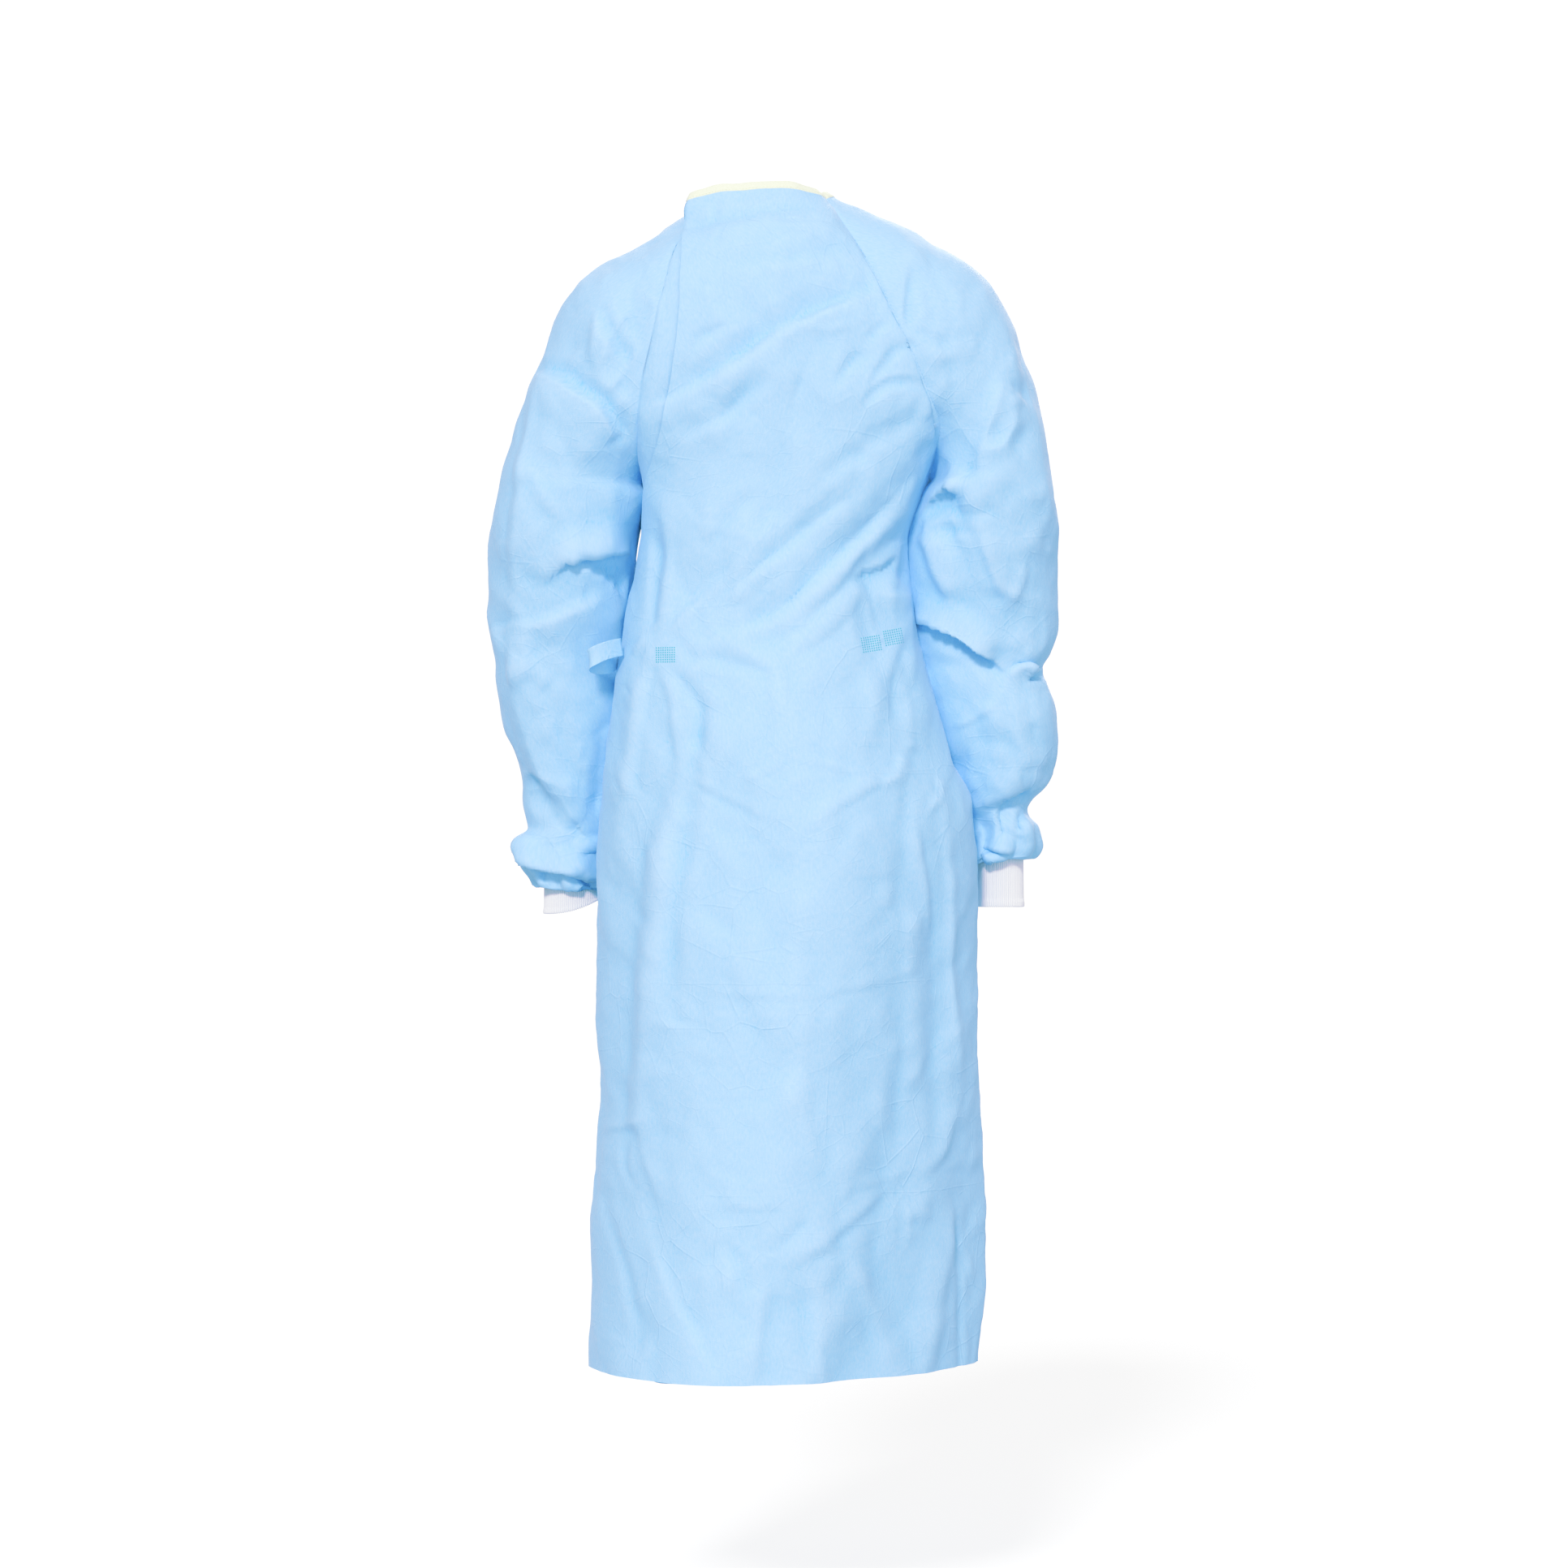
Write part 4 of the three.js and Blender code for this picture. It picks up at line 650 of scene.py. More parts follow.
def sleeve_places(table, side, rows, columns):
    """A sleeve's rows: column 0 is its back seam or its inner side, the last one its front."""
    sign = 1 if side == "right" else -1
    wide = column(table["wide"], rows)[:, None]
    middle_x = column(table["outer"], rows)[:, None] - sign * wide
    middle_y = column(table["y"], rows)[:, None]
    level = column(table["z"], rows)[:, None]
    depths = {way: column(table[way], rows)[:, None] for way in ("back", "front")}

    def on_section(angle):
        depth = np.where(angle > 0, depths["back"], depths["front"])
        x = middle_x + sign * wide * np.cos(angle)
        y = middle_y - depth * np.sin(angle)
        return np.stack(np.broadcast_arrays(x, y, level), axis=-1)

    cap = rows[:, None] < ARMPIT
    ends, angles = [], []
    for seams, depth, way in ((BACK_SEAMS, depths["back"], 1), (FRONT_SEAMS, depths["front"], -1)):
        end = column(seams[side], np.minimum(rows, ARMPIT))[:, None]
        angle = np.arctan2((middle_y - end[..., 1]) / depth, sign * (end[..., 0] - middle_x) / wide)
        ends.append(end)
        angles.append(np.where(cap, way * np.abs(angle), way * math.pi))
    share = np.linspace(0, 1, columns + 1)
    angle = angles[0] * (1 - share) + angles[1] * share
    places = on_section(angle)

    # Each half of a section is drawn to its own seam, and less so over the first rows below it
    armpit = np.minimum(rows, ARMPIT)
    drawn = 1 - smoothstep(rows, ARMPIT, ARMPIT + 1.5)[:, None]
    for end, last_angle, half in zip(ends, angles, (angle > 0, angle <= 0)):
        turn = np.clip(np.abs(angle / last_angle), 0, 1) * half
        target = end if rows.max() <= ARMPIT else np.where(
            cap[..., None], end, on_section(last_angle) + seam_miss(table, side, sign))
        miss = target - on_section(last_angle)
        places[..., 0] += drawn * miss[..., 0] * turn**3
        places[..., 1] += drawn * miss[..., 1] * turn**3
        places[..., 2] += drawn * miss[..., 2] * (1 - np.cos(math.pi * turn / 2))
    # Below the armpit its inner side lies against the body
    cling = UNDERARM_CLING * smoothstep(rows, ARMPIT, ARMPIT + 0.15) * smoothstep(-rows, -14.5, -13)
    places[..., 0] -= sign * cling[:, None] * smoothstep(-np.cos(angle), 0.2, 1)
    return gathered(table, places, rows, angle, middle_x, middle_y)


def seam_miss(table, side, sign):
    """How far the armpit's corner lies from the sleeve's own section there."""
    inner = table["outer"][ARMPIT] - 2 * sign * table["wide"][ARMPIT]
    own = np.array([inner, table["y"][ARMPIT], table["z"][ARMPIT]], float)
    return np.array(BACK_SEAMS[side][-1], float) - own


def gathered(table, places, rows, angle, middle_x, middle_y):
    """Gathers above the cuff, deepest where the sleeve blouses."""
    last = len(table["z"]) - 1
    share = np.clip((rows - (last - GATHER_ROWS)) / GATHER_ROWS, 0, 1)[:, None]
    depth = GATHER_DEPTH * np.sin(math.pi * share) * np.cos(GATHER_WAVES * angle)
    out = np.stack([places[..., 0] - middle_x, places[..., 1] - middle_y,
                    np.zeros_like(angle)], axis=-1)
    return places + unit(out) * depth[..., None]


cap_rows = np.linspace(0, ARMPIT, CAP_ROWS + 1)
body_rows = np.concatenate([
    cap_rows,
    np.linspace(ARMPIT, SKIRT, WAIST_ROWS + 1)[1:],
    np.linspace(SKIRT, HEM, SKIRT_ROWS + 1)[1:],
])


def sleeve_sheet(table, side):
    rows = np.concatenate([cap_rows, np.linspace(ARMPIT, len(table["z"]) - 1, SLEEVE_ROWS + 1)[1:]])
    places = sleeve_places(table, side, rows, SLEEVE_COLUMNS)
    return Sheet(places, turned=side == "left", closed_from=CAP_ROWS)


over_across = spread(edge_across(body_rows), 1, OVER_COLUMNS)
under_across = np.broadcast_to(spread(-1, UNDER_END, UNDER_COLUMNS), (len(body_rows), UNDER_COLUMNS + 1))
front_across = np.broadcast_to(spread(-1, 1, FRONT_COLUMNS), (len(body_rows), FRONT_COLUMNS + 1))

over = Sheet(body_places(BACK_SEAMS, BACK_SHAPE, body_rows, over_across))
under = Sheet(body_places(BACK_SEAMS, BACK_SHAPE, body_rows, under_across))
front = Sheet(body_places(FRONT_SEAMS, FRONT_SHAPE, body_rows, front_across), turned=True)
sleeve_right = sleeve_sheet(SLEEVE_RIGHT, "right")
sleeve_left = sleeve_sheet(SLEEVE_LEFT, "left")
body = [over, under, front]
skin = [over, under, front, sleeve_right, sleeve_left]

# Seams: how far each point of the skin lies from the nearest one

SEAM_SAMPLE = 0.6


def seam_lines():
    rows = np.linspace(0, ARMPIT, 401)
    lines = [column(seams[side], rows)
             for seams in (BACK_SEAMS, FRONT_SEAMS) for side in ("left", "right")]
    rows = np.linspace(0, HEM - ARMPIT, 1001)
    lines += [column(SIDE_SEAMS[side], rows) for side in ("left", "right")]
    return np.concatenate(lines)


def distance_to(points, targets):
    """Distance of each point from the nearest of the targets, 0 where it lies on their line."""
    tree = KDTree(len(targets))
    for i, target in enumerate(targets):
        tree.insert(target, i)
    tree.balance()
    found = np.array([tree.find(point)[2] for point in points.reshape(-1, 3)])
    return np.maximum(found - SEAM_SAMPLE, 0).reshape(points.shape[:-1])


SEAM_FADE = 14
SEAM_VALLEY = 0.4
SEAM_HALF = 3.5
PUCKER = 0.6
PUCKER_REACH = 13
PUCKER_GRAIN = 9
SKIRT_CALM = 0.15


def ease_armpits(sheet):
    """Rounds the body's form off over the rows where its raglan seams end."""
    away = np.abs(np.arange(1, len(sheet.places) - 1) - CAP_ROWS)
    weight = (1 - smoothstep(away, 0, EASE_REACH))[:, None] * smoothstep(sheet.from_seam[1:-1], 0, 25)
    for _ in range(EASE_ROUNDS):
        middle = (sheet.places[:-2] + sheet.places[2:]) / 2
        sheet.places[1:-1] += (middle - sheet.places[1:-1]) * weight[..., None]


EASE_REACH = 22
EASE_ROUNDS = 60
seams = seam_lines()
for s in skin:
    s.from_seam = distance_to(s.places, seams)
for s in body:
    ease_armpits(s)
share_normals(skin)
plain_under = under.places.copy()


def relief(sheet, creases, facing):
    """Height of many creases on a sheet, and how far their crests hang over."""
    x, z = sheet.places[..., 0].ravel(), sheet.places[..., 2].ravel()
    inner = smoothstep(sheet.from_seam, 0, SEAM_FADE).ravel()
    height = np.zeros(x.shape)
    hang = np.zeros((len(x), 2))
    turned = facing.ravel()
    for c in creases:
        path = np.asarray(c.path, float)
        reach = max(c.left, c.right) * max(1, c.widen)
        low, high = path.min(axis=0) - reach, path.max(axis=0) + reach
        near = (x > low[0]) & (x < high[0]) & (z > low[1]) & (z < high[1]) & (turned > 0)
        if not near.any():
            continue
        up, over_side = crease_relief(c, x[near], z[near])
        weight = turned[near] * (1 if c.crosses else inner[near])
        height[near] += up * weight
        hang[near] += over_side * weight[:, None]
    shape = sheet.places.shape[:2]
    return height.reshape(shape), hang.reshape(shape + (2,))


def facing(sheet, way):
    """1 where a sheet faces a way along Y, 0 where it turns to the side or away."""
    return smoothstep(way * sheet.normals[..., 1], 0.05, 0.6)


def add_creases(sheet, back_creases, front_creases, limit):
    """Adds the creases of both sides; where many meet they come softly to a limit."""
    total = np.zeros(sheet.places.shape[:2])
    for creases, way in ((back_creases, -1), (front_creases, 1)):
        height, hang = relief(sheet, creases, facing(sheet, way))
        height = limit * np.tanh(height / limit)
        sheet.places += sheet.normals * height[..., None]
        sheet.places[..., 0] += hang[..., 0]
        sheet.places[..., 2] += hang[..., 1]
        total += height
    sheet.relief = total


BODY_FOLDS = 11
SLEEVE_FOLDS = 22
BACK_WEAR = small_creases(11, 190, (-200, 215), (-1180, -20), 1.5)
FRONT_WEAR = small_creases(12, 190, (-200, 215), (-1180, -60), 1.5)
SLEEVE_WEAR = (small_creases(13, 90, (130, 285), (-680, -40), 2.2)
               + small_creases(14, 90, (-285, -130), (-700, -40), 2.2))
SLEEVE_FRONT_WEAR = small_creases(15, 160, (-285, 285), (-700, -40), 2.0)
crossing_back = [c for c in BACK_CREASES if c.crosses]
crossing_front = [c for c in FRONT_CREASES if c.crosses]

for s in body:
    limit = SLEEVE_FOLDS + (BODY_FOLDS - SLEEVE_FOLDS) * smoothstep(s.from_seam, 0, SEAM_FADE)
    add_creases(s, BACK_CREASES + BACK_WEAR, FRONT_CREASES + FRONT_WEAR, limit)
for s, own, mirror in ((sleeve_right, RIGHT_SLEEVE_CREASES, False),
                       (sleeve_left, LEFT_SLEEVE_CREASES, True)):
    on_front = mirrored(SLEEVE_FRONT_CREASES) if mirror else SLEEVE_FRONT_CREASES
    add_creases(s, own + SLEEVE_WEAR + crossing_back,
                on_front + SLEEVE_FRONT_WEAR + crossing_front, SLEEVE_FOLDS)
share_normals(skin)

# Slow waves, crushed facets, the seams' valleys and their puckers
for s in skin:
    waves = 2.2 * gradient_noise(s.places, 150, 21) + 6.5 * facets(s.places, 95, 31)
    waves += 3.4 * facets(s.places, 42, 41) + 1.3 * facets(s.places, 19, 91)
    waves *= 1 - SKIRT_CALM * smoothstep(-s.places[..., 2], 560, 700)
    if s.closed_from is not None:
        blouse = smoothstep(np.arange(len(s.places)), len(s.places) - 40, len(s.places) - 6)[:, None]
        waves += 2.6 * blouse * facets(s.places, 24, 51)
        still = 1 - smoothstep(np.arange(len(s.places)), len(s.places) - 5, len(s.places) - 1)
        waves *= still[:, None]
    s.places += s.normals * waves[..., None]
    valley = -SEAM_VALLEY * (1 - smoothstep(s.from_seam, 0, SEAM_HALF))
    pucker = PUCKER * smoothstep(s.from_seam, 0, 3) * (1 - smoothstep(s.from_seam, 3, PUCKER_REACH))
    pucker = pucker * gradient_noise(s.places, PUCKER_GRAIN, 61)
    s.places += s.normals * (valley + pucker)[..., None]
    s.relief = s.relief + waves
share_normals(skin)


def settle_under():
    """Takes the hidden part of the under back off its folds and further in."""
    edge = edge_across(body_rows)[:, None]
    hidden = smoothstep(under_across, edge - 0.02, edge + 0.3)
    hidden = (hidden * smoothstep(body_rows, 0, 2.5)[:, None])[..., None]
    under.places += (plain_under - under.places) * hidden
    under.places -= under.normals * UNDER_INSET * hidden


def lift_over():
    """Lifts the over back off the under one, and its top corner off the left shoulder."""
    corner = np.array(NECK_CORNER, float) - over.places[0, 0]
    share = np.linspace(0, 1, OVER_COLUMNS + 1)[None]
    lift = OVERLAP_LIFT * (1 - smoothstep(over_across, UNDER_END + 0.05, LIFT_START))
    lift = lift + EDGE_LIFT * (1 - smoothstep(share, 0, 0.3))
    lift = lift * (1 - SKIRT_HOLD * smoothstep(body_rows, 8, 11))[:, None]
    over.places += over.normals * lift[..., None]
    pull = (1 - smoothstep(share, 0, 0.45)) * (1 - smoothstep(body_rows, 0, CORNER_REACH))[:, None]
    over.places += corner * pull[..., None]


def surface_of(sheet):
    """A sheet's finished outer side, for finding places on it."""
    rows, columns = sheet.places.shape[:2]
    index = np.arange(rows * columns).reshape(rows, columns)
    quads = np.stack([index[:-1, :-1], index[1:, :-1], index[1:, 1:], index[:-1, 1:]], axis=-1)
    return BVHTree.FromPolygons(sheet.places.reshape(-1, 3).tolist(), quads.reshape(-1, 4).tolist())


def tuck_under():
    """Keeps the covered part of the under back behind the over back, folds and all."""
    cover = surface_of(over)
    covered = under_across > edge_across(body_rows)[:, None] + 0.01
    deeper = smoothstep(under_across, edge_across(body_rows)[:, None], edge_across(body_rows)[:, None] + 0.2)
    for i, k in zip(*np.nonzero(covered)):
        outwards = Vector(under.normals[i, k])
        inside = Vector(under.places[i, k]) - outwards * TUCK_FROM
        room = cover.ray_cast(inside, outwards)[3]
        if room is not None:
            too_far = TUCK_FROM + TUCK_START + TUCK * deeper[i, k] - room
            under.places[i, k] -= np.array(outwards) * max(0, too_far)


TUCK_FROM = 40
TUCK_START = 0.9
TUCK = 2.5
settle_under()
lift_over()
tuck_under()


# Meshes

def link(mesh, name):
    piece = bpy.data.objects.new(name, mesh)
    bpy.context.scene.collection.objects.link(piece)
    return piece


def make_mesh(name, points, faces):
    """A smooth mesh in metres from points in millimetres."""
    mesh = bpy.data.meshes.new(name)
    mesh.from_pydata((np.asarray(points) * MM).tolist(), [], [list(map(int, f)) for f in faces])
    mesh.polygons.foreach_set("use_smooth", np.ones(len(mesh.polygons), bool))
    mesh.update()
    return mesh


def add_uv(mesh, uv_of_point):
    """Gives a mesh a UV map in metres of cloth from one pair of lengths for each point."""
    layer = mesh.uv_layers.new(name="cloth_lengths")
    corners = np.empty(len(mesh.loops), int)
    mesh.loops.foreach_get("vertex_index", corners)
    layer.data.foreach_set("uv", np.asarray(uv_of_point)[corners].ravel())


def add_number(mesh, name, values):
    """Keeps one number for each point under a name that the materials read."""
    layer = mesh.attributes.new(name, "FLOAT", "POINT")
    layer.data.foreach_set("value", np.asarray(values, np.float32).ravel())


def lengths_along(places, axis):
    step = np.linalg.norm(np.diff(places, axis=axis), axis=-1)
    start = np.zeros_like(np.take(step, [0], axis=axis))
    return np.concatenate([start, np.cumsum(step, axis=axis)], axis=axis)


def blurred(grid, radius):
    """A grid of numbers averaged over the cells around each, first down and then across."""
    for axis in (0, 1):
        width = 2 * radius + 1
        pad = [(radius, radius) if a == axis else (0, 0) for a in (0, 1)]
        total = np.cumsum(np.pad(grid, pad, mode="edge"), axis=axis)
        total = np.concatenate([np.zeros_like(np.take(total, [0], axis=axis)), total], axis=axis)
        high = np.take(total, range(width, total.shape[axis]), axis=axis)
        low = np.take(total, range(0, total.shape[axis] - width), axis=axis)
        grid = (high - low) / width
    return grid


# How far round and how deep a fold reaches before its painted shade is full
FOLD_SHADE_RADIUS = 4
FOLD_SHADE_DEPTH = 4.0


def sharpen_border(mesh):
    """Keeps a shell's shading from running round its cut edge."""
    edges = np.empty(len(mesh.loops), int)
    mesh.loops.foreach_get("edge_index", edges)
    layer = mesh.attributes.new("sharp_edge", "BOOLEAN", "EDGE")
    layer.data.foreach_set("value", np.bincount(edges, minlength=len(mesh.edges)) == 1)


def cloth_piece(name, sheet):
    """One cut piece as a thin shell, with its lengths, and the depth of its folds for the painted shade in
    them.
    """
    rows, columns = sheet.places.shape[:2]
    index = np.arange(rows * columns).reshape(rows, columns)
    if sheet.closed_from is not None:
        index[sheet.closed_from:, -1] = index[sheet.closed_from:, 0]
    a, b = index[:-1, :-1], index[:-1, 1:]
    d, e = index[1:, :-1], index[1:, 1:]
    quads = np.stack([a, d, e, b] if sheet.side > 0 else [a, b, e, d], axis=-1).reshape(-1, 4)
    across = lengths_along(sheet.flat, 1)
    across = across - across[:, [columns // 2]]
    down = lengths_along(sheet.flat[:, [columns // 2]], 0)
    uv = np.stack([across, np.broadcast_to(-down, across.shape)], axis=-1).reshape(-1, 2) * MM
    # Depth of each point in its folds, which the cloth material turns into painted shade
    cavity = np.clip((blurred(sheet.relief, FOLD_SHADE_RADIUS) - sheet.relief) / FOLD_SHADE_DEPTH, -1, 1)
    used = np.unique(quads)
    new = np.full(index.size, -1)
    new[used] = np.arange(len(used))
    mesh = make_mesh(name, sheet.places.reshape(-1, 3)[used], new[quads])
    add_uv(mesh, uv[used])
    add_number(mesh, "cavity", cavity.reshape(-1)[used])
    sharpen_border(mesh)
    piece = link(mesh, name)
    wall = piece.modifiers.new("wall", "SOLIDIFY")
    wall.thickness = CLOTH_WALL * MM
    wall.offset = -1
    return piece


def sheet_area(sheet):
    cells = Sheet(sheet.flat).cell_normals()
    return float(np.linalg.norm(cells, axis=-1).sum()) * MM * MM


# Places on surfaces, for the trims

def place_on(surface, start, way):
    """Where a straight line from a start first meets a surface."""
    hit = surface.ray_cast(Vector(start), Vector(way))[0]
    return None if hit is None else np.array(hit)


def stations_at(path, pitch):
    """Even stations along a path of places, with whatever else is kept at each place."""
    step = np.linalg.norm(np.diff(path[:, :3], axis=0), axis=1)
    along = np.concatenate([[0], np.cumsum(step)])
    count = max(2, round(along[-1] / pitch) + 1)
    at = np.linspace(0, along[-1], count)
    return np.stack([np.interp(at, along, path[:, k]) for k in range(path.shape[1])], axis=1)


def loft(name, sections, closed_ends=True, ring=False):
    """A closed skin over sections, each a ring of points; a ring joins its last section on."""
    count, around = sections.shape[:2]
    index = np.arange(count * around).reshape(count, around)
    near = index if ring else index[:-1]
    far = np.roll(index, -1, axis=0) if ring else index[1:]
    quads = np.stack([near, far, np.roll(far, -1, axis=1), np.roll(near, -1, axis=1)], axis=-1)
    faces = quads.reshape(-1, 4).tolist()
    if closed_ends and not ring:
        faces += [index[0].tolist(), index[-1][::-1].tolist()]
    points = sections.reshape(-1, 3)
    if skin_volume(points, faces) < 0:
        faces = [face[::-1] for face in faces]
    return make_mesh(name, points, faces)


def skin_volume(points, faces):
    """Volume inside a closed skin, below 0 where its faces point inwards."""
    total = 0.0
    for face in faces:
        corners = points[face]
        fan = np.cross(corners[1:-1], corners[2:])
        total += float((fan @ corners[0]).sum())
    return total / 6


# Neck binding: a folded tape that holds the neck edge of every piece in its fold

BINDING_BELOW = 1.8
BINDING_ABOVE = 8.2
BINDING_FRONT = 0.9
BINDING_BACK = 1.5
BINDING_STEP = 3.0
BINDING_ROW = 2
TAPE_PUCKER = 0.35
TAPE_POINTS = 16


def neck_path():
    """Places along the neck edge, each with the way up across the tape and the way out."""
    parts = []
    for sheet, back in ((over, False), (sleeve_right, False), (front, True), (sleeve_left, True),
                        (under, False)):
        edge = sheet.places[0]
        up = unit(edge - sheet.places[BINDING_ROW])
        out = sheet.normals[0]
        out = unit(out - up * (out * up).sum(axis=1, keepdims=True))
        line = np.concatenate([edge, up, out], axis=1)
        parts.append(line[::-1] if back else line)
    path = np.concatenate(parts)
    return path[np.concatenate([[True], np.linalg.norm(np.diff(path[:, :3], axis=0), axis=1) > 0.5])]


def make_binding():
    stations = stations_at(neck_path(), BINDING_STEP)
    place, up, out = stations[:, :3], unit(stations[:, 3:6]), unit(stations[:, 6:9])
    around = np.linspace(0, 2 * math.pi, TAPE_POINTS, endpoint=False)
    # A squarish loop: flat on both faces, round at its fold
    wide = np.sign(np.cos(around)) * np.abs(np.cos(around)) ** 0.35
    deep = np.sign(np.sin(around)) * np.abs(np.sin(around)) ** 0.6
    middle_up = (BINDING_ABOVE - BINDING_BELOW) / 2
    middle_out = (BINDING_FRONT - BINDING_BACK) / 2
    reach_up = (BINDING_ABOVE + BINDING_BELOW) / 2
    reach_out = (BINDING_FRONT + BINDING_BACK) / 2
    wave = TAPE_PUCKER * gradient_noise(place, 7, 71)
    wave = wave[:, None] * (deep > 0) * (1 - np.abs(wide))[None] * 2
    sections = (
        place[:, None]
        + up[:, None] * (middle_up + reach_up * wide)[None, :, None]
        + out[:, None] * ((middle_out + reach_out * deep)[None] + wave)[..., None]
    )
    mesh = loft("neck_tape", sections)
    return link(mesh, "neck_tape"), place + up * (1.6 - BINDING_BELOW) + out * BINDING_FRONT, out


# Cuffs: ribbed knit tubes, folded double at the wrist

RIB_PITCH = 2.2
RIB_DEPTH = 0.42
CUFF_WALL = 2.0
CUFF_GAP = 0.4
CUFF_ROLL = 0.7
POINTS_A_RIB = 8
CUFF_STEP = 1.6
CUFFS = {
    "cuff_right": ("right_cuff_knit", {"length": 53, "rise": 0, "flare": 0.5}),
    "cuff_left": ("left_cuff_knit", {"length": 30, "rise": 14, "flare": 0.5}),
}


def cuff_mesh(name, sheet, cuff):
    """A plain tube with its place around kept for the ribs, and how many ribs fit round it."""
    ring = sheet.places[-1]
    turn = stations_at(ring, 0.5)
    perimeter = np.linalg.norm(np.diff(turn, axis=0), axis=1).sum()
    ribs = round(perimeter / RIB_PITCH)
    ring = stations_at(ring, perimeter / (ribs * POINTS_A_RIB))[:-1]
    middle = ring.mean(axis=0)
    size = np.abs(ring[:, 0])
    towards_body = (size.max() - size) / (size.max() - size.min())
    length = cuff["length"] - cuff["rise"] * towards_body**2.4
    out = ring - middle
    out[:, 2] = 0
    out = unit(out)
    steps = round(cuff["length"] / CUFF_STEP)
    share = np.linspace(0, 1, steps + 1)
    roll = CUFF_ROLL * smoothstep(share, 0.84, 0.93)
    bend = np.linspace(0, math.pi, 7)[1:-1]
    half = CUFF_WALL / 2
    down = np.concatenate([share, np.ones(len(bend)), share[::-1]])
    drop = np.concatenate([0 * share, half * np.sin(bend), 0 * share])
    outward = np.concatenate([cuff["flare"] * share + roll,
                              cuff["flare"] + CUFF_ROLL - half + half * np.cos(bend),
                              cuff["flare"] * share[::-1] - CUFF_WALL])
    sections = ring[None] + out[None] * outward[:, None, None]
    sections[..., 2] = (middle[2] - CUFF_GAP - down[:, None] * (length - half)[None]
                        - drop[:, None])
    mesh = loft(name, sections, ring=True)
    around = np.arange(len(ring)) / len(ring)
    add_number(mesh, "around", np.tile(around, len(sections)))
    return mesh, ribs


# Ties: folded strips of the same cloth, on edge round the left side and tied on the front

TIE_LEVEL = -466
TIE_WIDTH = 18
TIE_WALL = 1.4
TIE_OFF = 3.1
TIE_STEP = 2.2
KNOT_PLACE = -0.62
FRONT_TIE_START = -0.28
KNOT = (12, 12, 7)
KNOT_CLEAR = 1.0
TAIL_APART = 5
FRONT_HALF = 150
TAILS = {
    "tie_tail_long": {"length": 190, "drift": -16, "twist": 0.5, "off": 3.0},
    "tie_tail_short": {"length": 150, "drift": 20, "twist": -0.4, "off": 5.4},
}
# Middle line of the loop that comes out past the free edge: X, Y and height from the tie's level
TIE_LOOP = [(-157, -52, 7), (-168, -61, 4.5), (-180, -67, 0), (-188, -65, -5), (-188, -57, -9),
            (-182, -50, -11), (-173, -44, -11), (-166, -33, -8)]
SIDE_PLACES = (-0.997, -0.975, -0.93, -0.86, -0.78)


def row_at(level):
    """Row of the body at a height, on its left side seam."""
    rows = np.linspace(ARMPIT, HEM, 2000)
    heights = column(SIDE_SEAMS["left"], rows - ARMPIT)[:, 2]
    return float(np.interp(-level, -heights, rows))


front_surface = surface_of(front)


def on_front(level, across, off):
    """A place off the front's cloth, with the ways round, down and out there."""
    row = row_at(level)
    step = 0.01
    rows = np.array([row, row, row, row + step])
    places = body_places(FRONT_SEAMS, FRONT_SHAPE, rows,
                         np.array([[across], [across + step], [across - step], [across]]))[:, 0]
    around = unit(places[1] - places[2])
    down = unit(places[3] - places[0])
    out = unit(np.cross(around, down))
    if out[1] < 0:
        out = -out
    found = place_on(front_surface, places[0] + out * 40, -out)
    place = places[0] if found is None else found
    return place + out * off, around, down, out


def tie_section(place, across, out, width, fold):
    """A strip's section: two layers pressed flat, a little cupped and fuller at its edges."""
    around = np.linspace(0, 2 * math.pi, 20, endpoint=False)
    wide = np.sign(np.cos(around)) * np.abs(np.cos(around)) ** 0.5
    deep = np.sin(around) * (0.62 + 0.38 * wide**4) + fold * (0.5 - wide**2)
    return (place + np.outer(wide * width / 2, across) + np.outer(deep * TIE_WALL / 2, out))


def strip_mesh(name, places, acrosses, outs, widths):
    sections = [tie_section(p, a, o, w, 0.35 + 0.25 * math.sin(0.19 * i))
                for i, (p, a, o, w) in enumerate(zip(places, acrosses, outs, widths))]
    return loft(name, np.array(sections))


def tie_on_edge(name, path):
    """A tie that stands on edge along a path."""
    line = stations_at(smooth_path(path, 8), TIE_STEP)
    along = unit(np.gradient(line, axis=0))
    across = unit(np.array([0, 0, 1]) - along * along[:, [2]])
    out = unit(np.cross(along, across))
    sway = gradient_noise(line, 26, 81)[:, None]
    return strip_mesh(name, line, unit(across + 0.12 * sway * out), out, [TIE_WIDTH] * len(line))


def knot_end(way):
    """Where a tie runs into the knot, from one side of it."""
    place, around, _, _ = on_front(TIE_LEVEL, KNOT_PLACE, KNOT[2] + KNOT_CLEAR)
    place = place + around * way * (KNOT[0] - 3)
    place[2] = TIE_LEVEL
    return place


def back_tie_path():
    path = [(x, y, TIE_LEVEL + up) for x, y, up in TIE_LOOP]
    side = body_places(BACK_SEAMS, BACK_SHAPE, np.array([row_at(TIE_LEVEL)]),
                       np.array([[SIDE_PLACES[0]]]))[0, 0]
    path.append((side[0] - TIE_OFF, side[1], TIE_LEVEL))
    for across in SIDE_PLACES:
        place = on_front(TIE_LEVEL, across, TIE_OFF)[0]
        path.append((place[0], place[1], TIE_LEVEL))
    path.append(knot_end(-1))
    return path


def front_tie_path():
    path = [knot_end(1)]
    for across in (-0.46, -0.4, -0.34, FRONT_TIE_START):
        place = on_front(TIE_LEVEL, across, 1.7)[0]
        path.append((place[0], place[1], TIE_LEVEL))
    return path


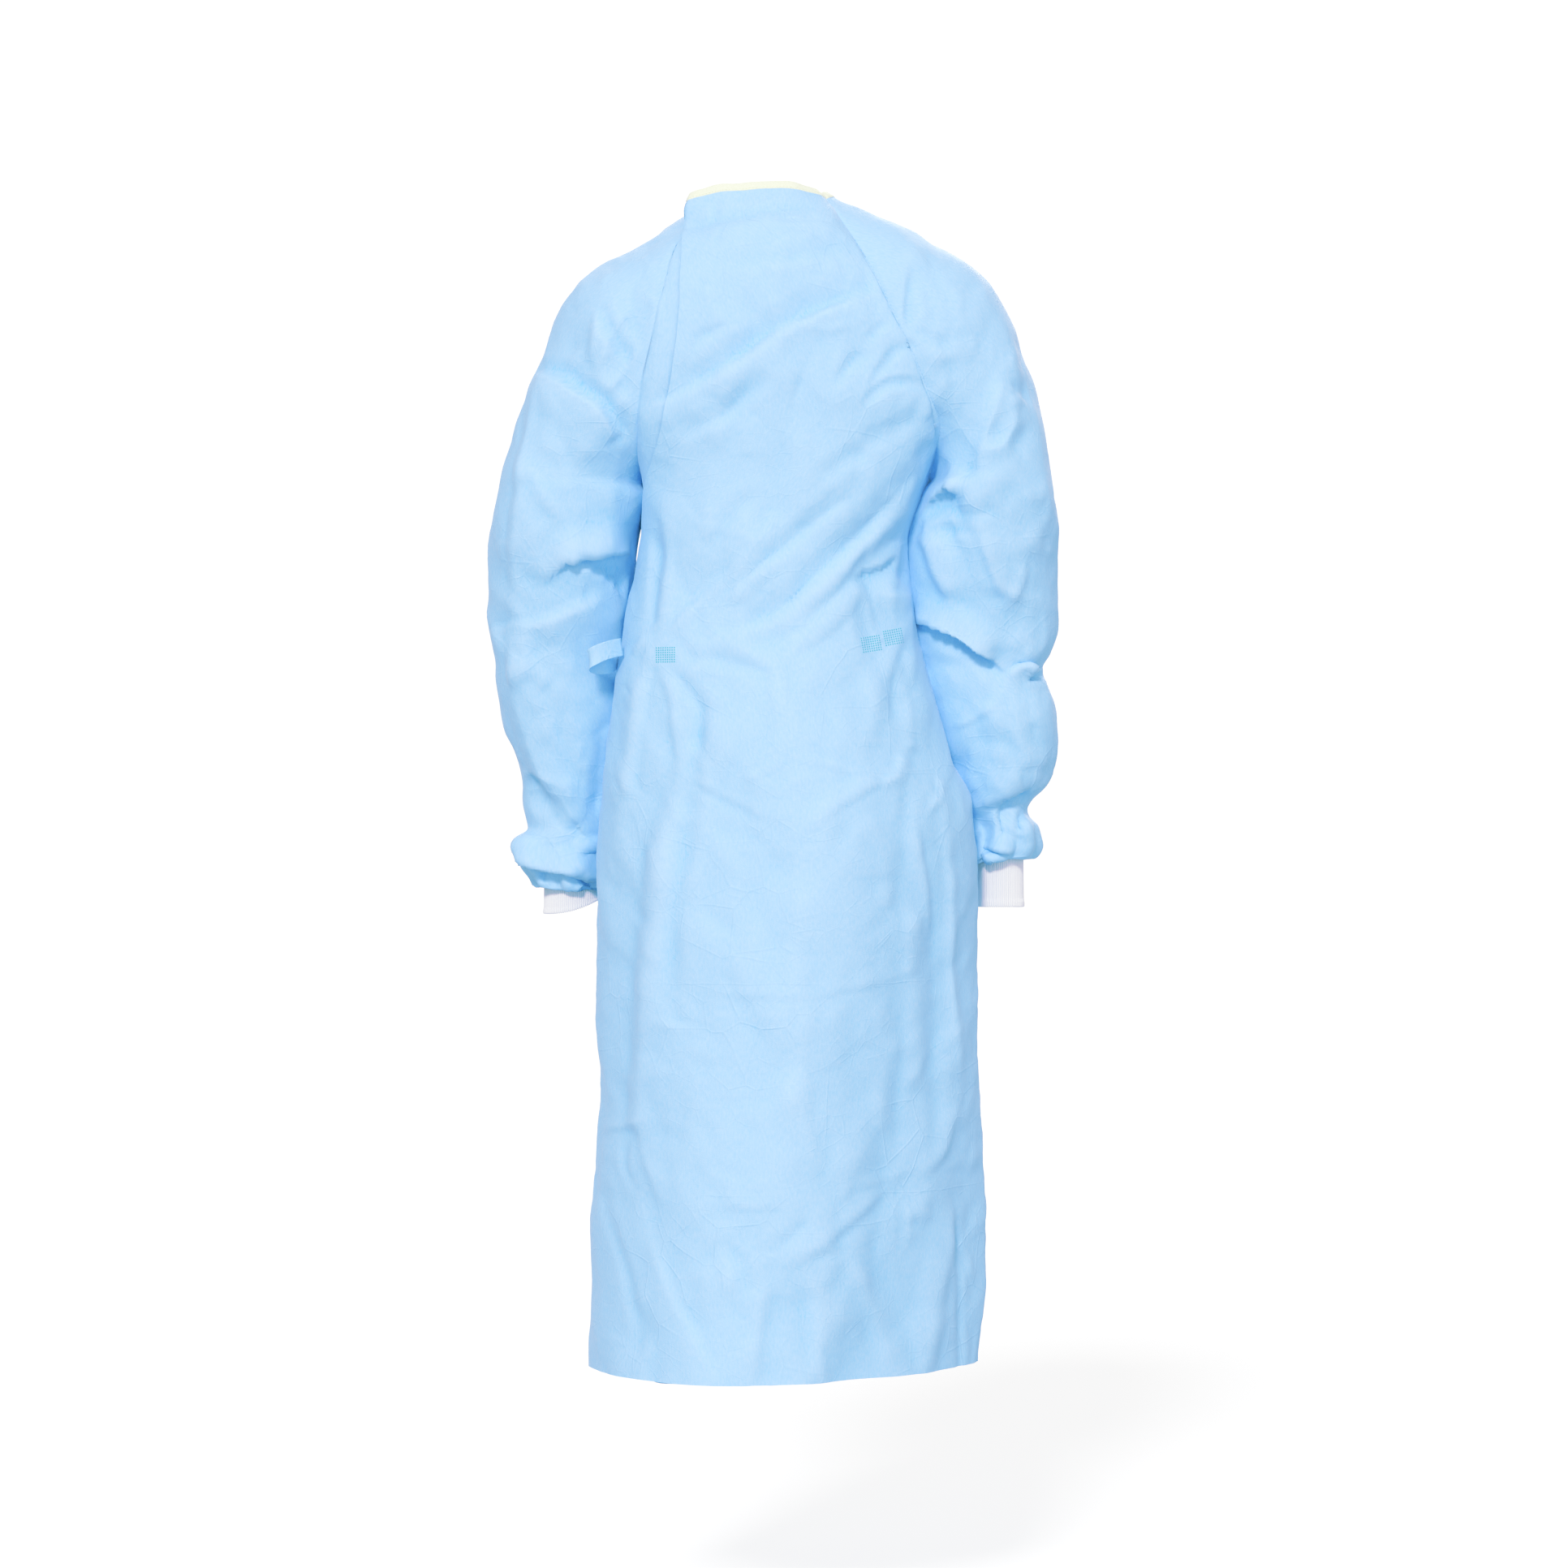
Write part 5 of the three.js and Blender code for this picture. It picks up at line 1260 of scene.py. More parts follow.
def tail_mesh(name, tail):
    """An end of the tie that hangs from under the knot."""
    steps = round(tail["length"] / TIE_STEP)
    places, sides, faces, widths = [], [], [], []
    for share in np.linspace(0, 1, steps + 1):
        level = TIE_LEVEL - KNOT[1] * 0.7 - share * tail["length"]
        aside = math.copysign(TAIL_APART, tail["drift"]) + tail["drift"] * share
        opened = float(smoothstep(share, 0, 0.3))
        off = (KNOT[2] + KNOT_CLEAR) * (1 - opened) + tail["off"] * opened
        place, around, down, out = on_front(level, KNOT_PLACE + aside / FRONT_HALF, off)
        turn = tail["twist"] * math.sin(math.pi * share) * 0.5
        places.append(place)
        sides.append(unit(around * math.cos(turn) + np.cross(down, around) * math.sin(turn)))
        faces.append(unit(out * math.cos(turn) + np.cross(down, out) * math.sin(turn)))
        widths.append(TIE_WIDTH * (0.45 + 0.55 * opened))
    return strip_mesh(name, places, sides, faces, widths)


def knot_mesh():
    """The knot: turns of the strip drawn tight over each other, with a groove between them."""
    place, around, _, out = on_front(TIE_LEVEL, KNOT_PLACE, KNOT[2] + KNOT_CLEAR)
    place[2] = TIE_LEVEL
    rings, points = 48, 64
    sections = []
    for theta in np.linspace(0.06, math.pi - 0.06, rings):
        phi = np.linspace(0, 2 * math.pi, points, endpoint=False)
        x = np.cos(theta) * np.ones(points)
        y = np.sin(theta) * np.cos(phi)
        z = np.sin(theta) * np.sin(phi)
        lane = x * 2.1 + 0.5 * y
        groove = 1 - 0.2 * np.abs(np.cos(math.pi * lane)) ** 9
        crease_wave = 1 + 0.03 * np.sin(9 * y + 5 * x)
        size = groove * crease_wave
        spot = (place + np.outer(x * KNOT[0] * size, around) + np.outer(z * KNOT[2] * size, out))
        spot[:, 2] += y * KNOT[1] * size
        sections.append(spot)
    return loft("tie_knot_cloth", np.array(sections))


# Geometry Nodes: what repeats along a line or over a patch

def new_tree(name, sockets):
    """A Geometry Nodes tree with named inputs: name to socket type."""
    tree = bpy.data.node_groups.new(name, "GeometryNodeTree")
    tree.interface.new_socket("Geometry", in_out="INPUT", socket_type="NodeSocketGeometry")
    for label, kind in sockets.items():
        tree.interface.new_socket(label, in_out="INPUT", socket_type=kind)
    tree.interface.new_socket("Geometry", in_out="OUTPUT", socket_type="NodeSocketGeometry")
    return tree, add_node(tree, "NodeGroupInput")


def finish_tree(tree, geometry, inputs):
    """Ends a tree with real geometry and its material."""
    real = add_node(tree, "GeometryNodeRealizeInstances", {"Geometry": geometry})
    made = add_node(tree, "GeometryNodeSetMaterial", {
        "Geometry": real.outputs["Geometry"], "Material": inputs.outputs["Material"]})
    add_node(tree, "NodeGroupOutput", {"Geometry": made.outputs["Geometry"]})


def run_tree(name, mesh, tree, values):
    """Runs a tree on a mesh and returns the plain mesh that it makes, as a new piece."""
    carrier = link(mesh, name + "_carrier")
    made = carrier.modifiers.new("nodes", "NODES")
    made.node_group = tree
    for item in tree.interface.items_tree:
        if item.in_out == "INPUT" and item.name in values:
            made[item.identifier] = values[item.name]
    graph = bpy.context.evaluated_depsgraph_get()
    result = bpy.data.meshes.new_from_object(carrier.evaluated_get(graph), depsgraph=graph)
    result.name = name
    carrier.modifiers.clear()
    bpy.data.objects.remove(carrier)
    piece = link(result, name)
    result.polygons.foreach_set("use_smooth", np.ones(len(result.polygons), bool))
    return piece


def rib_tree():
    """Raises ribs on a tube from each point's place around it."""
    tree, inputs = new_tree("knit_ribs", {
        "Ribs": "NodeSocketInt", "Depth": "NodeSocketFloat", "Material": "NodeSocketMaterial"})
    around = add_node(tree, "GeometryNodeInputNamedAttribute", {"Name": "around"},
                      data_type="FLOAT")
    turns = add_node(tree, "ShaderNodeMath", {
        0: around.outputs["Attribute"], 1: inputs.outputs["Ribs"]}, operation="MULTIPLY")
    angle = add_node(tree, "ShaderNodeMath", {
        0: turns.outputs["Value"], 1: 2 * math.pi}, operation="MULTIPLY")
    wave = add_node(tree, "ShaderNodeMath", {0: angle.outputs["Value"]}, operation="COSINE")
    rise = add_node(tree, "ShaderNodeMath", {
        0: wave.outputs["Value"], 1: inputs.outputs["Depth"]}, operation="MULTIPLY")
    normal = add_node(tree, "GeometryNodeInputNormal")
    move = add_node(tree, "ShaderNodeVectorMath", {
        0: normal.outputs["Normal"], "Scale": rise.outputs["Value"]}, operation="SCALE")
    ribbed = add_node(tree, "GeometryNodeSetPosition", {
        "Geometry": inputs.outputs["Geometry"], "Offset": move.outputs["Vector"]})
    finish_tree(tree, ribbed.outputs["Geometry"], inputs)
    return tree


def stitch_tree():
    """Lays stitches end to end along a line of points, each lying on the way out of the cloth."""
    tree, inputs = new_tree("stitch_line", {
        "Pitch": "NodeSocketFloat", "Length": "NodeSocketFloat", "Thread": "NodeSocketFloat",
        "Material": "NodeSocketMaterial"})
    line = add_node(tree, "GeometryNodeMeshToCurve", {"Mesh": inputs.outputs["Geometry"]})
    even = add_node(tree, "GeometryNodeResampleCurve", {
        "Curve": line.outputs["Curve"], "Length": inputs.outputs["Pitch"]}, mode="LENGTH")
    bead = add_node(tree, "GeometryNodeMeshIcoSphere", {"Radius": 0.5, "Subdivisions": 2})
    size = add_node(tree, "ShaderNodeCombineXYZ", {
        "X": inputs.outputs["Length"], "Y": inputs.outputs["Thread"], "Z": inputs.outputs["Thread"]})
    stitch = add_node(tree, "GeometryNodeTransform", {
        "Geometry": bead.outputs["Mesh"], "Scale": size.outputs["Vector"]})
    way = add_node(tree, "GeometryNodeInputTangent")
    out = add_node(tree, "GeometryNodeInputNamedAttribute", {"Name": "out"},
                   data_type="FLOAT_VECTOR")
    turned = add_node(tree, "FunctionNodeAlignEulerToVector", {"Vector": way.outputs["Tangent"]},
                      axis="X")
    laid = add_node(tree, "FunctionNodeAlignEulerToVector", {
        "Rotation": turned.outputs["Rotation"], "Vector": out.outputs["Attribute"]},
        axis="Z", pivot_axis="X")
    stitches = add_node(tree, "GeometryNodeInstanceOnPoints", {
        "Points": even.outputs["Curve"], "Instance": stitch.outputs["Geometry"],
        "Rotation": laid.outputs["Rotation"]})
    finish_tree(tree, stitches.outputs["Instances"], inputs)
    return tree


def weld_tree():
    """Presses a patch of round weld dots onto the cloth that lies behind it."""
    tree, inputs = new_tree("weld_patch", {
        "Cloth": "NodeSocketObject", "Columns": "NodeSocketInt", "Rows": "NodeSocketInt",
        "Wide": "NodeSocketFloat", "High": "NodeSocketFloat", "Middle": "NodeSocketVector",
        "Turn": "NodeSocketFloat", "Dot": "NodeSocketFloat", "Thick": "NodeSocketFloat",
        "Material": "NodeSocketMaterial"})
    grid = add_node(tree, "GeometryNodeMeshGrid", {
        "Size X": inputs.outputs["Wide"], "Size Y": inputs.outputs["High"],
        "Vertices X": inputs.outputs["Columns"], "Vertices Y": inputs.outputs["Rows"]})
    tilt = add_node(tree, "ShaderNodeCombineXYZ", {"X": math.pi / 2, "Y": 0, "Z": 0})
    upright = add_node(tree, "GeometryNodeTransform", {
        "Geometry": grid.outputs["Mesh"], "Rotation": tilt.outputs["Vector"]})
    slope = add_node(tree, "ShaderNodeCombineXYZ", {"X": 0, "Y": inputs.outputs["Turn"], "Z": 0})
    placed = add_node(tree, "GeometryNodeTransform", {
        "Geometry": upright.outputs["Geometry"], "Rotation": slope.outputs["Vector"],
        "Translation": inputs.outputs["Middle"]})
    cloth = add_node(tree, "GeometryNodeObjectInfo", {"Object": inputs.outputs["Cloth"]})
    way = add_node(tree, "ShaderNodeCombineXYZ", {"X": 0, "Y": 1, "Z": 0})
    cast = add_node(tree, "GeometryNodeRaycast", {
        "Target Geometry": cloth.outputs["Geometry"], "Ray Direction": way.outputs["Vector"],
        "Ray Length": 1.0})
    pressed = add_node(tree, "GeometryNodeSetPosition", {
        "Geometry": placed.outputs["Geometry"], "Position": cast.outputs["Hit Position"]})
    dot = add_node(tree, "GeometryNodeMeshCylinder", {
        "Vertices": 10, "Radius": inputs.outputs["Dot"], "Depth": inputs.outputs["Thick"]})
    turned = add_node(tree, "FunctionNodeAlignEulerToVector", {
        "Vector": cast.outputs["Hit Normal"]}, axis="Z")
    kept = add_node(tree, "GeometryNodeStoreNamedAttribute", {
        "Geometry": pressed.outputs["Geometry"], "Name": "turn", "Value": turned.outputs["Rotation"]},
        data_type="FLOAT_VECTOR")
    turn = add_node(tree, "GeometryNodeInputNamedAttribute", {"Name": "turn"},
                    data_type="FLOAT_VECTOR")
    dots = add_node(tree, "GeometryNodeInstanceOnPoints", {
        "Points": kept.outputs["Geometry"], "Instance": dot.outputs["Mesh"],
        "Rotation": turn.outputs["Attribute"]})
    finish_tree(tree, dots.outputs["Instances"], inputs)
    return tree


def line_mesh(name, places, outs):
    """A line of points in metres with the way out of the cloth kept at each."""
    mesh = bpy.data.meshes.new(name)
    edges = [(i, i + 1) for i in range(len(places) - 1)]
    mesh.from_pydata((np.asarray(places) * MM).tolist(), edges, [])
    layer = mesh.attributes.new("out", "FLOAT_VECTOR", "POINT")
    layer.data.foreach_set("vector", np.asarray(outs, np.float32).ravel())
    return mesh


# Materials

def linear(hex_colour):
    """A linear colour with alpha from an sRGB hex value."""
    parts = [((hex_colour >> shift) & 255) / 255 for shift in (16, 8, 0)]
    return tuple(p / 12.92 if p <= 0.04045 else ((p + 0.055) / 1.055) ** 2.4 for p in parts) + (1.0,)


def add_node(tree, kind, inputs=None, **settings):
    """Adds a node to a tree; an input is a value, or the socket that feeds it."""
    node = tree.nodes.new(kind)
    for name, value in settings.items():
        setattr(node, name, value)
    for name, value in (inputs or {}).items():
        if isinstance(value, bpy.types.NodeSocket):
            tree.links.new(value, node.inputs[name])
        else:
            node.inputs[name].default_value = value
    return node


def new_material(name):
    """An empty material with its output."""
    material = bpy.data.materials.new(name)
    material.use_nodes = True
    material.node_tree.nodes.clear()
    return material, material.node_tree


def finish_material(tree, shader):
    add_node(tree, "ShaderNodeOutputMaterial", {"Surface": shader.outputs["BSDF"]})


MOTTLE_WIDE = 2.2 * MM
MOTTLE_LONG = 6 * MM
FIBRE_GRAIN = 1.3 * MM
CLOTH_LINES = {"crush_wide": (46 * MM, 0.030, 0.32 * MM), "crush_fine": (18 * MM, 0.055, 0.18 * MM)}
PACK_WIDE = 212 * MM
PACK_LONG = 208 * MM
PACK_START = (20 * MM, 0.0)
PACK_LINE = 1.1 * MM


def crushed_lines(tree, lengths, size, line, depth, before):
    """Thin lines of crushed cloth: size of a facet, a line's share of it, and its height."""
    warp = add_node(tree, "ShaderNodeTexNoise", {"Vector": lengths, "Scale": 0.5 / size, "Detail": 2})
    bend = add_node(tree, "ShaderNodeVectorMath", {
        0: warp.outputs["Color"], 1: (0.35 * size,) * 3}, operation="MULTIPLY")
    bent = add_node(tree, "ShaderNodeVectorMath", {0: bend.outputs["Vector"], 1: lengths})
    cells = add_node(tree, "ShaderNodeTexVoronoi", {
        "Vector": bent.outputs["Vector"], "Scale": 1 / size, "Randomness": 1},
        feature="DISTANCE_TO_EDGE")
    ridge = add_node(tree, "ShaderNodeMapRange", {
        "Value": cells.outputs["Distance"], "From Min": 0, "From Max": line, "To Min": 1,
        "To Max": 0})
    patch = add_node(tree, "ShaderNodeTexNoise", {"Vector": lengths, "Scale": 0.35 / size})
    shown = add_node(tree, "ShaderNodeMapRange", {
        "Value": patch.outputs["Fac"], "From Min": 0.42, "From Max": 0.62, "To Min": 0, "To Max": 1})
    height = add_node(tree, "ShaderNodeMath", {
        0: ridge.outputs["Result"], 1: shown.outputs["Result"]}, operation="MULTIPLY")
    return add_node(tree, "ShaderNodeBump", {
        "Height": height.outputs["Value"], "Strength": 1.0, "Distance": depth, "Normal": before})


def pack_line(tree, length, pitch, start, wobble):
    """Height of the pressed lines that a folded pack leaves across one direction of the cloth."""
    moved = add_node(tree, "ShaderNodeMath", {0: length, 1: wobble}, operation="ADD")
    from_start = add_node(tree, "ShaderNodeMath", {
        0: moved.outputs["Value"], 1: start - pitch / 2}, operation="SUBTRACT")
    place = add_node(tree, "ShaderNodeMath", {
        0: from_start.outputs["Value"], 1: pitch}, operation="FLOORED_MODULO")
    gap = add_node(tree, "ShaderNodeMath", {
        0: place.outputs["Value"], 1: pitch / 2}, operation="SUBTRACT")
    away = add_node(tree, "ShaderNodeMath", {0: gap.outputs["Value"]}, operation="ABSOLUTE")
    return add_node(tree, "ShaderNodeMapRange", {
        "Value": away.outputs["Value"], "From Min": 0, "From Max": PACK_LINE, "To Min": 1,
        "To Max": 0}).outputs["Result"]


def spunbond_cloth(name, light, shade, deep):
    """Spunbond polypropylene: matte and paper-like, with cloudy fibre, and painted shade that makes it a
    deeper blue in its folds.
    """
    material, tree = new_material(name)
    lengths = add_node(tree, "ShaderNodeUVMap", uv_map="cloth_lengths").outputs["UV"]
    cavity = add_node(tree, "ShaderNodeAttribute", attribute_name="cavity").outputs["Fac"]
    stretched = add_node(tree, "ShaderNodeMapping", {
        "Vector": lengths, "Scale": (1 / MOTTLE_WIDE, 1 / MOTTLE_LONG, 1)})
    cloud = add_node(tree, "ShaderNodeTexNoise", {
        "Vector": stretched.outputs["Vector"], "Scale": 1, "Detail": 3, "Roughness": 0.6})
    # Real fibres are 0.02 mm thick; they are drawn as tufts of a millimetre, which still show
    fibre = add_node(tree, "ShaderNodeTexNoise", {
        "Vector": lengths, "Scale": 1 / FIBRE_GRAIN, "Detail": 3, "Roughness": 0.7})
    # Painted shade: the deeper a point lies in its folds, the further it moves from the light colour to the
    # shade and deep ones; the cloudy thickness moves it a little either way
    fold_shade_share = add_node(tree, "ShaderNodeMapRange", {
        "Value": cavity, "From Min": -1.2, "From Max": 2.4, "To Min": 0, "To Max": 1})
    thick = add_node(tree, "ShaderNodeMapRange", {
        "Value": cloud.outputs["Fac"], "From Min": 0.3, "From Max": 0.7, "To Min": -0.26,
        "To Max": 0.26})
    shade_and_thickness = add_node(tree, "ShaderNodeMath", {
        0: fold_shade_share.outputs["Result"], 1: thick.outputs["Result"]}, operation="ADD")
    # light is the cloth's own blue; shade and deep are painted shade for its folds
    ramp = add_node(tree, "ShaderNodeValToRGB", {"Fac": shade_and_thickness.outputs["Value"]})
    ramp.color_ramp.elements[0].position = 0.0
    ramp.color_ramp.elements[0].color = linear(light)
    ramp.color_ramp.elements[1].position = 1.0
    ramp.color_ramp.elements[1].color = linear(deep)
    ramp.color_ramp.elements.new(0.6).color = linear(shade)
    both_ways = add_node(tree, "ShaderNodeSeparateXYZ", {"Vector": lengths})
    sway = add_node(tree, "ShaderNodeTexNoise", {"Vector": lengths, "Scale": 12, "Detail": 2})
    wobble = add_node(tree, "ShaderNodeMapRange", {
        "Value": sway.outputs["Fac"], "From Min": 0, "From Max": 1, "To Min": -5 * MM,
        "To Max": 5 * MM}).outputs["Result"]
    pressed = add_node(tree, "ShaderNodeMath", {
        0: pack_line(tree, both_ways.outputs["X"], PACK_WIDE, PACK_START[0], wobble),
        1: pack_line(tree, both_ways.outputs["Y"], PACK_LONG, PACK_START[1], wobble)},
        operation="MAXIMUM")
    worn = add_node(tree, "ShaderNodeTexNoise", {"Vector": lengths, "Scale": 7, "Detail": 1})
    kept = add_node(tree, "ShaderNodeMapRange", {
        "Value": worn.outputs["Fac"], "From Min": 0.46, "From Max": 0.6, "To Min": 0, "To Max": 1})
    left_over = add_node(tree, "ShaderNodeMath", {
        0: pressed.outputs["Value"], 1: kept.outputs["Result"]}, operation="MULTIPLY")
    bump = add_node(tree, "ShaderNodeBump", {
        "Height": left_over.outputs["Value"], "Strength": 1.0, "Distance": 0.22 * MM})
    for size, line, depth in CLOTH_LINES.values():
        bump = crushed_lines(tree, lengths, size, line, depth, bump.outputs["Normal"])
    bump = add_node(tree, "ShaderNodeBump", {
        "Height": fibre.outputs["Fac"], "Strength": 0.8, "Distance": 0.32 * MM,
        "Normal": bump.outputs["Normal"]})
    shader = add_node(tree, "ShaderNodeBsdfPrincipled", {
        "Base Color": ramp.outputs["Color"], "Normal": bump.outputs["Normal"], "Roughness": 0.72,
        "IOR": 1.45, "Specular IOR Level": 0.3, "Sheen Weight": 0.15, "Sheen Roughness": 0.45})
    finish_material(tree, shader)
    return material


def woven_grain(name, light, dark, grain, rough, height):
    """A fine textile by its grain alone, on Object coordinates: tape, thread or knit."""
    material, tree = new_material(name)
    place = add_node(tree, "ShaderNodeTexCoord").outputs["Object"]
    tufts = add_node(tree, "ShaderNodeTexNoise", {
        "Vector": place, "Scale": 1 / grain, "Detail": 3, "Roughness": 0.65})
    share = add_node(tree, "ShaderNodeMapRange", {
        "Value": tufts.outputs["Fac"], "From Min": 0.3, "From Max": 0.7, "To Min": 0, "To Max": 1})
    ramp = add_node(tree, "ShaderNodeValToRGB", {"Fac": share.outputs["Result"]})
    ramp.color_ramp.elements[0].color = linear(dark)
    ramp.color_ramp.elements[1].color = linear(light)
    bump = add_node(tree, "ShaderNodeBump", {
        "Height": tufts.outputs["Fac"], "Strength": 0.5, "Distance": height})
    shader = add_node(tree, "ShaderNodeBsdfPrincipled", {
        "Base Color": ramp.outputs["Color"], "Normal": bump.outputs["Normal"], "Roughness": rough,
        "Specular IOR Level": 0.3, "Sheen Weight": 0.2, "Sheen Roughness": 0.5})
    finish_material(tree, shader)
    return material


def rib_knit():
    """Polyester rib knit: soft white, with painted shade that makes it greyer in the grooves between its
    ribs, fuzzy loops.
    """
    material, tree = new_material("polyester_rib_knit")
    place = add_node(tree, "ShaderNodeTexCoord").outputs["Object"]
    around = add_node(tree, "ShaderNodeAttribute", attribute_name="rib").outputs["Fac"]
    loops = add_node(tree, "ShaderNodeTexWave", {
        "Vector": place, "Scale": 0.5 / KNIT_COURSE, "Distortion": 1.5, "Detail": 2},
        bands_direction="Z")
    fuzz = add_node(tree, "ShaderNodeTexNoise", {
        "Vector": place, "Scale": 1 / (0.9 * MM), "Detail": 3})
    # Painted shade: greyer in the grooves between the ribs, the knit's own white on them
    ramp = add_node(tree, "ShaderNodeValToRGB", {"Fac": around})
    ramp.color_ramp.elements[0].color = linear(0xCBCDD4)
    ramp.color_ramp.elements[1].color = linear(0xE2E2E6)
    both = add_node(tree, "ShaderNodeMath", {
        0: loops.outputs["Fac"], 1: fuzz.outputs["Fac"]}, operation="ADD")
    bump = add_node(tree, "ShaderNodeBump", {
        "Height": both.outputs["Value"], "Strength": 0.4, "Distance": 0.25 * MM})
    shader = add_node(tree, "ShaderNodeBsdfPrincipled", {
        "Base Color": ramp.outputs["Color"], "Normal": bump.outputs["Normal"], "Roughness": 0.9,
        "Specular IOR Level": 0.2, "Sheen Weight": 0.3, "Sheen Roughness": 0.5})
    finish_material(tree, shader)
    return material


KNIT_COURSE = 1.4 * MM


def weld_mark():
    """Heat-welded polypropylene: the fibres are melted to a glossier, darker green-blue film."""
    material, tree = new_material("heat_welded_polypropylene")
    place = add_node(tree, "ShaderNodeTexCoord").outputs["Object"]
    grain = add_node(tree, "ShaderNodeTexNoise", {"Vector": place, "Scale": 1 / (0.8 * MM)})
    ramp = add_node(tree, "ShaderNodeValToRGB", {"Fac": grain.outputs["Fac"]})
    ramp.color_ramp.elements[0].color = linear(0x3C93A8)
    ramp.color_ramp.elements[1].color = linear(0x5FB0C2)
    shader = add_node(tree, "ShaderNodeBsdfPrincipled", {
        "Base Color": ramp.outputs["Color"], "Roughness": 0.4, "IOR": 1.49})
    finish_material(tree, shader)
    return material


def painted_floor():
    """White painted studio floor: matte, with a trace of roller texture."""
    material, tree = new_material("painted_studio_floor")
    place = add_node(tree, "ShaderNodeTexCoord").outputs["Object"]
    roller = add_node(tree, "ShaderNodeTexNoise", {"Vector": place, "Scale": 90, "Detail": 2})
    bump = add_node(tree, "ShaderNodeBump", {
        "Height": roller.outputs["Fac"], "Strength": 0.05, "Distance": 0.3 * MM})
    shader = add_node(tree, "ShaderNodeBsdfPrincipled", {
        "Base Color": linear(0xFCFCFC), "Normal": bump.outputs["Normal"], "Roughness": 0.85,
        "Specular IOR Level": 0.2})
    finish_material(tree, shader)
    return material


# The cloth's own blue, then the painted shade and the deeper painted shade of its folds
back_cloth = spunbond_cloth("spunbond_nonwoven_cloth", 0x9BC1F1, 0x8DB9EF, 0x6EAEEA)
tape_cloth = woven_grain("folded_nonwoven_tape", 0xDEE3C6, 0xD3D9B4, 1.6 * MM, 0.8, 0.2 * MM)
blue_thread = woven_grain("spun_polyester_thread", 0x9FC3EC, 0x86B1E4, 0.5 * MM, 0.7, 0.1 * MM)
tape_thread = woven_grain("twisted_polyester_thread", 0xD6D8A8, 0xC2C592, 0.5 * MM, 0.7, 0.1 * MM)
knit_yarn = rib_knit()
weld_film = weld_mark()


def put_on(piece, material):
    piece.data.materials.clear()
    piece.data.materials.append(material)


def make_floor():
    """A plain pale floor at the height of the wearer's feet, that throws no light back up."""
    half = FLOOR_HALF / MM
    level = FLOOR_LEVEL / MM
    corners = [(-half, -half, level), (half, -half, level), (half, half, level), (-half, half, level)]
    floor = link(make_mesh("studio_floor", corners, [(0, 1, 2, 3)]), "studio_floor")
    put_on(floor, painted_floor())
    floor.visible_diffuse = False


def make_world():
    """White studio air: a soft light from all round, seen as a white background."""
    world = bpy.data.worlds.new("white_studio")
    world.use_nodes = True
    tree = world.node_tree
    tree.nodes.clear()
    way = add_node(tree, "ShaderNodeSeparateXYZ", {
        "Vector": add_node(tree, "ShaderNodeTexCoord").outputs["Generated"]})
    air = add_node(tree, "ShaderNodeMapRange", {
        "Value": way.outputs["Z"], "From Min": -1, "From Max": 1, "To Min": AIR_BELOW,
        "To Max": AIR_ABOVE})
    seen = add_node(tree, "ShaderNodeLightPath").outputs["Is Camera Ray"]
    strength = add_node(tree, "ShaderNodeMix", {
        "Factor": seen, "A": air.outputs["Result"], "B": AIR_SEEN})
    light = add_node(tree, "ShaderNodeBackground", {
        "Color": linear(0xFFFFFF), "Strength": strength.outputs["Result"]})
    add_node(tree, "ShaderNodeOutputWorld", {"Surface": light.outputs["Background"]})
    bpy.context.scene.world = world


AIR_ABOVE = 0.64
AIR_BELOW = 0.46
AIR_SEEN = 1.4
make_floor()
make_world()


def declare(piece, slot, *nodes):
    """Sets a piece on the gown's only body and hides the nodes that it stands for; slot, its finish, is not
    used.
    """
    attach(piece, "root")
    if nodes:
        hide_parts(*nodes)


# The cut pieces
CUTS = {
    "back_panel_over": ("over_back", over),
    "back_panel_under": ("under_back", under),
    "front_panel": ("front_cloth", front),
    "sleeve_left": ("left_sleeve_cloth", sleeve_left),
    "sleeve_right": ("right_sleeve_cloth", sleeve_right),
}
cloth_pieces = {}
for node, (name, sheet) in CUTS.items():
    piece = cloth_piece(name, sheet)
    put_on(piece, back_cloth)
    declare(piece, "nonwoven_cloth", node)
    sheet_area(sheet)
    cloth_pieces[node] = piece

# Cuffs
knit_ribs = rib_tree()
for node, (name, cuff) in CUFFS.items():
    mesh, ribs = cuff_mesh(name, sleeve_right if node == "cuff_right" else sleeve_left, cuff)
    around = np.empty(len(mesh.vertices), np.float32)
    mesh.attributes["around"].data.foreach_get("value", around)
    # Mask for the knit's painted groove shade: 1 on a rib, 0 in the groove between ribs
    add_number(mesh, "rib", 0.5 + 0.5 * np.cos(2 * math.pi * ribs * around))
    piece = run_tree(name, mesh, knit_ribs, {
        "Ribs": ribs, "Depth": RIB_DEPTH * MM, "Material": knit_yarn})
    declare(piece, "cuff_knit", node)

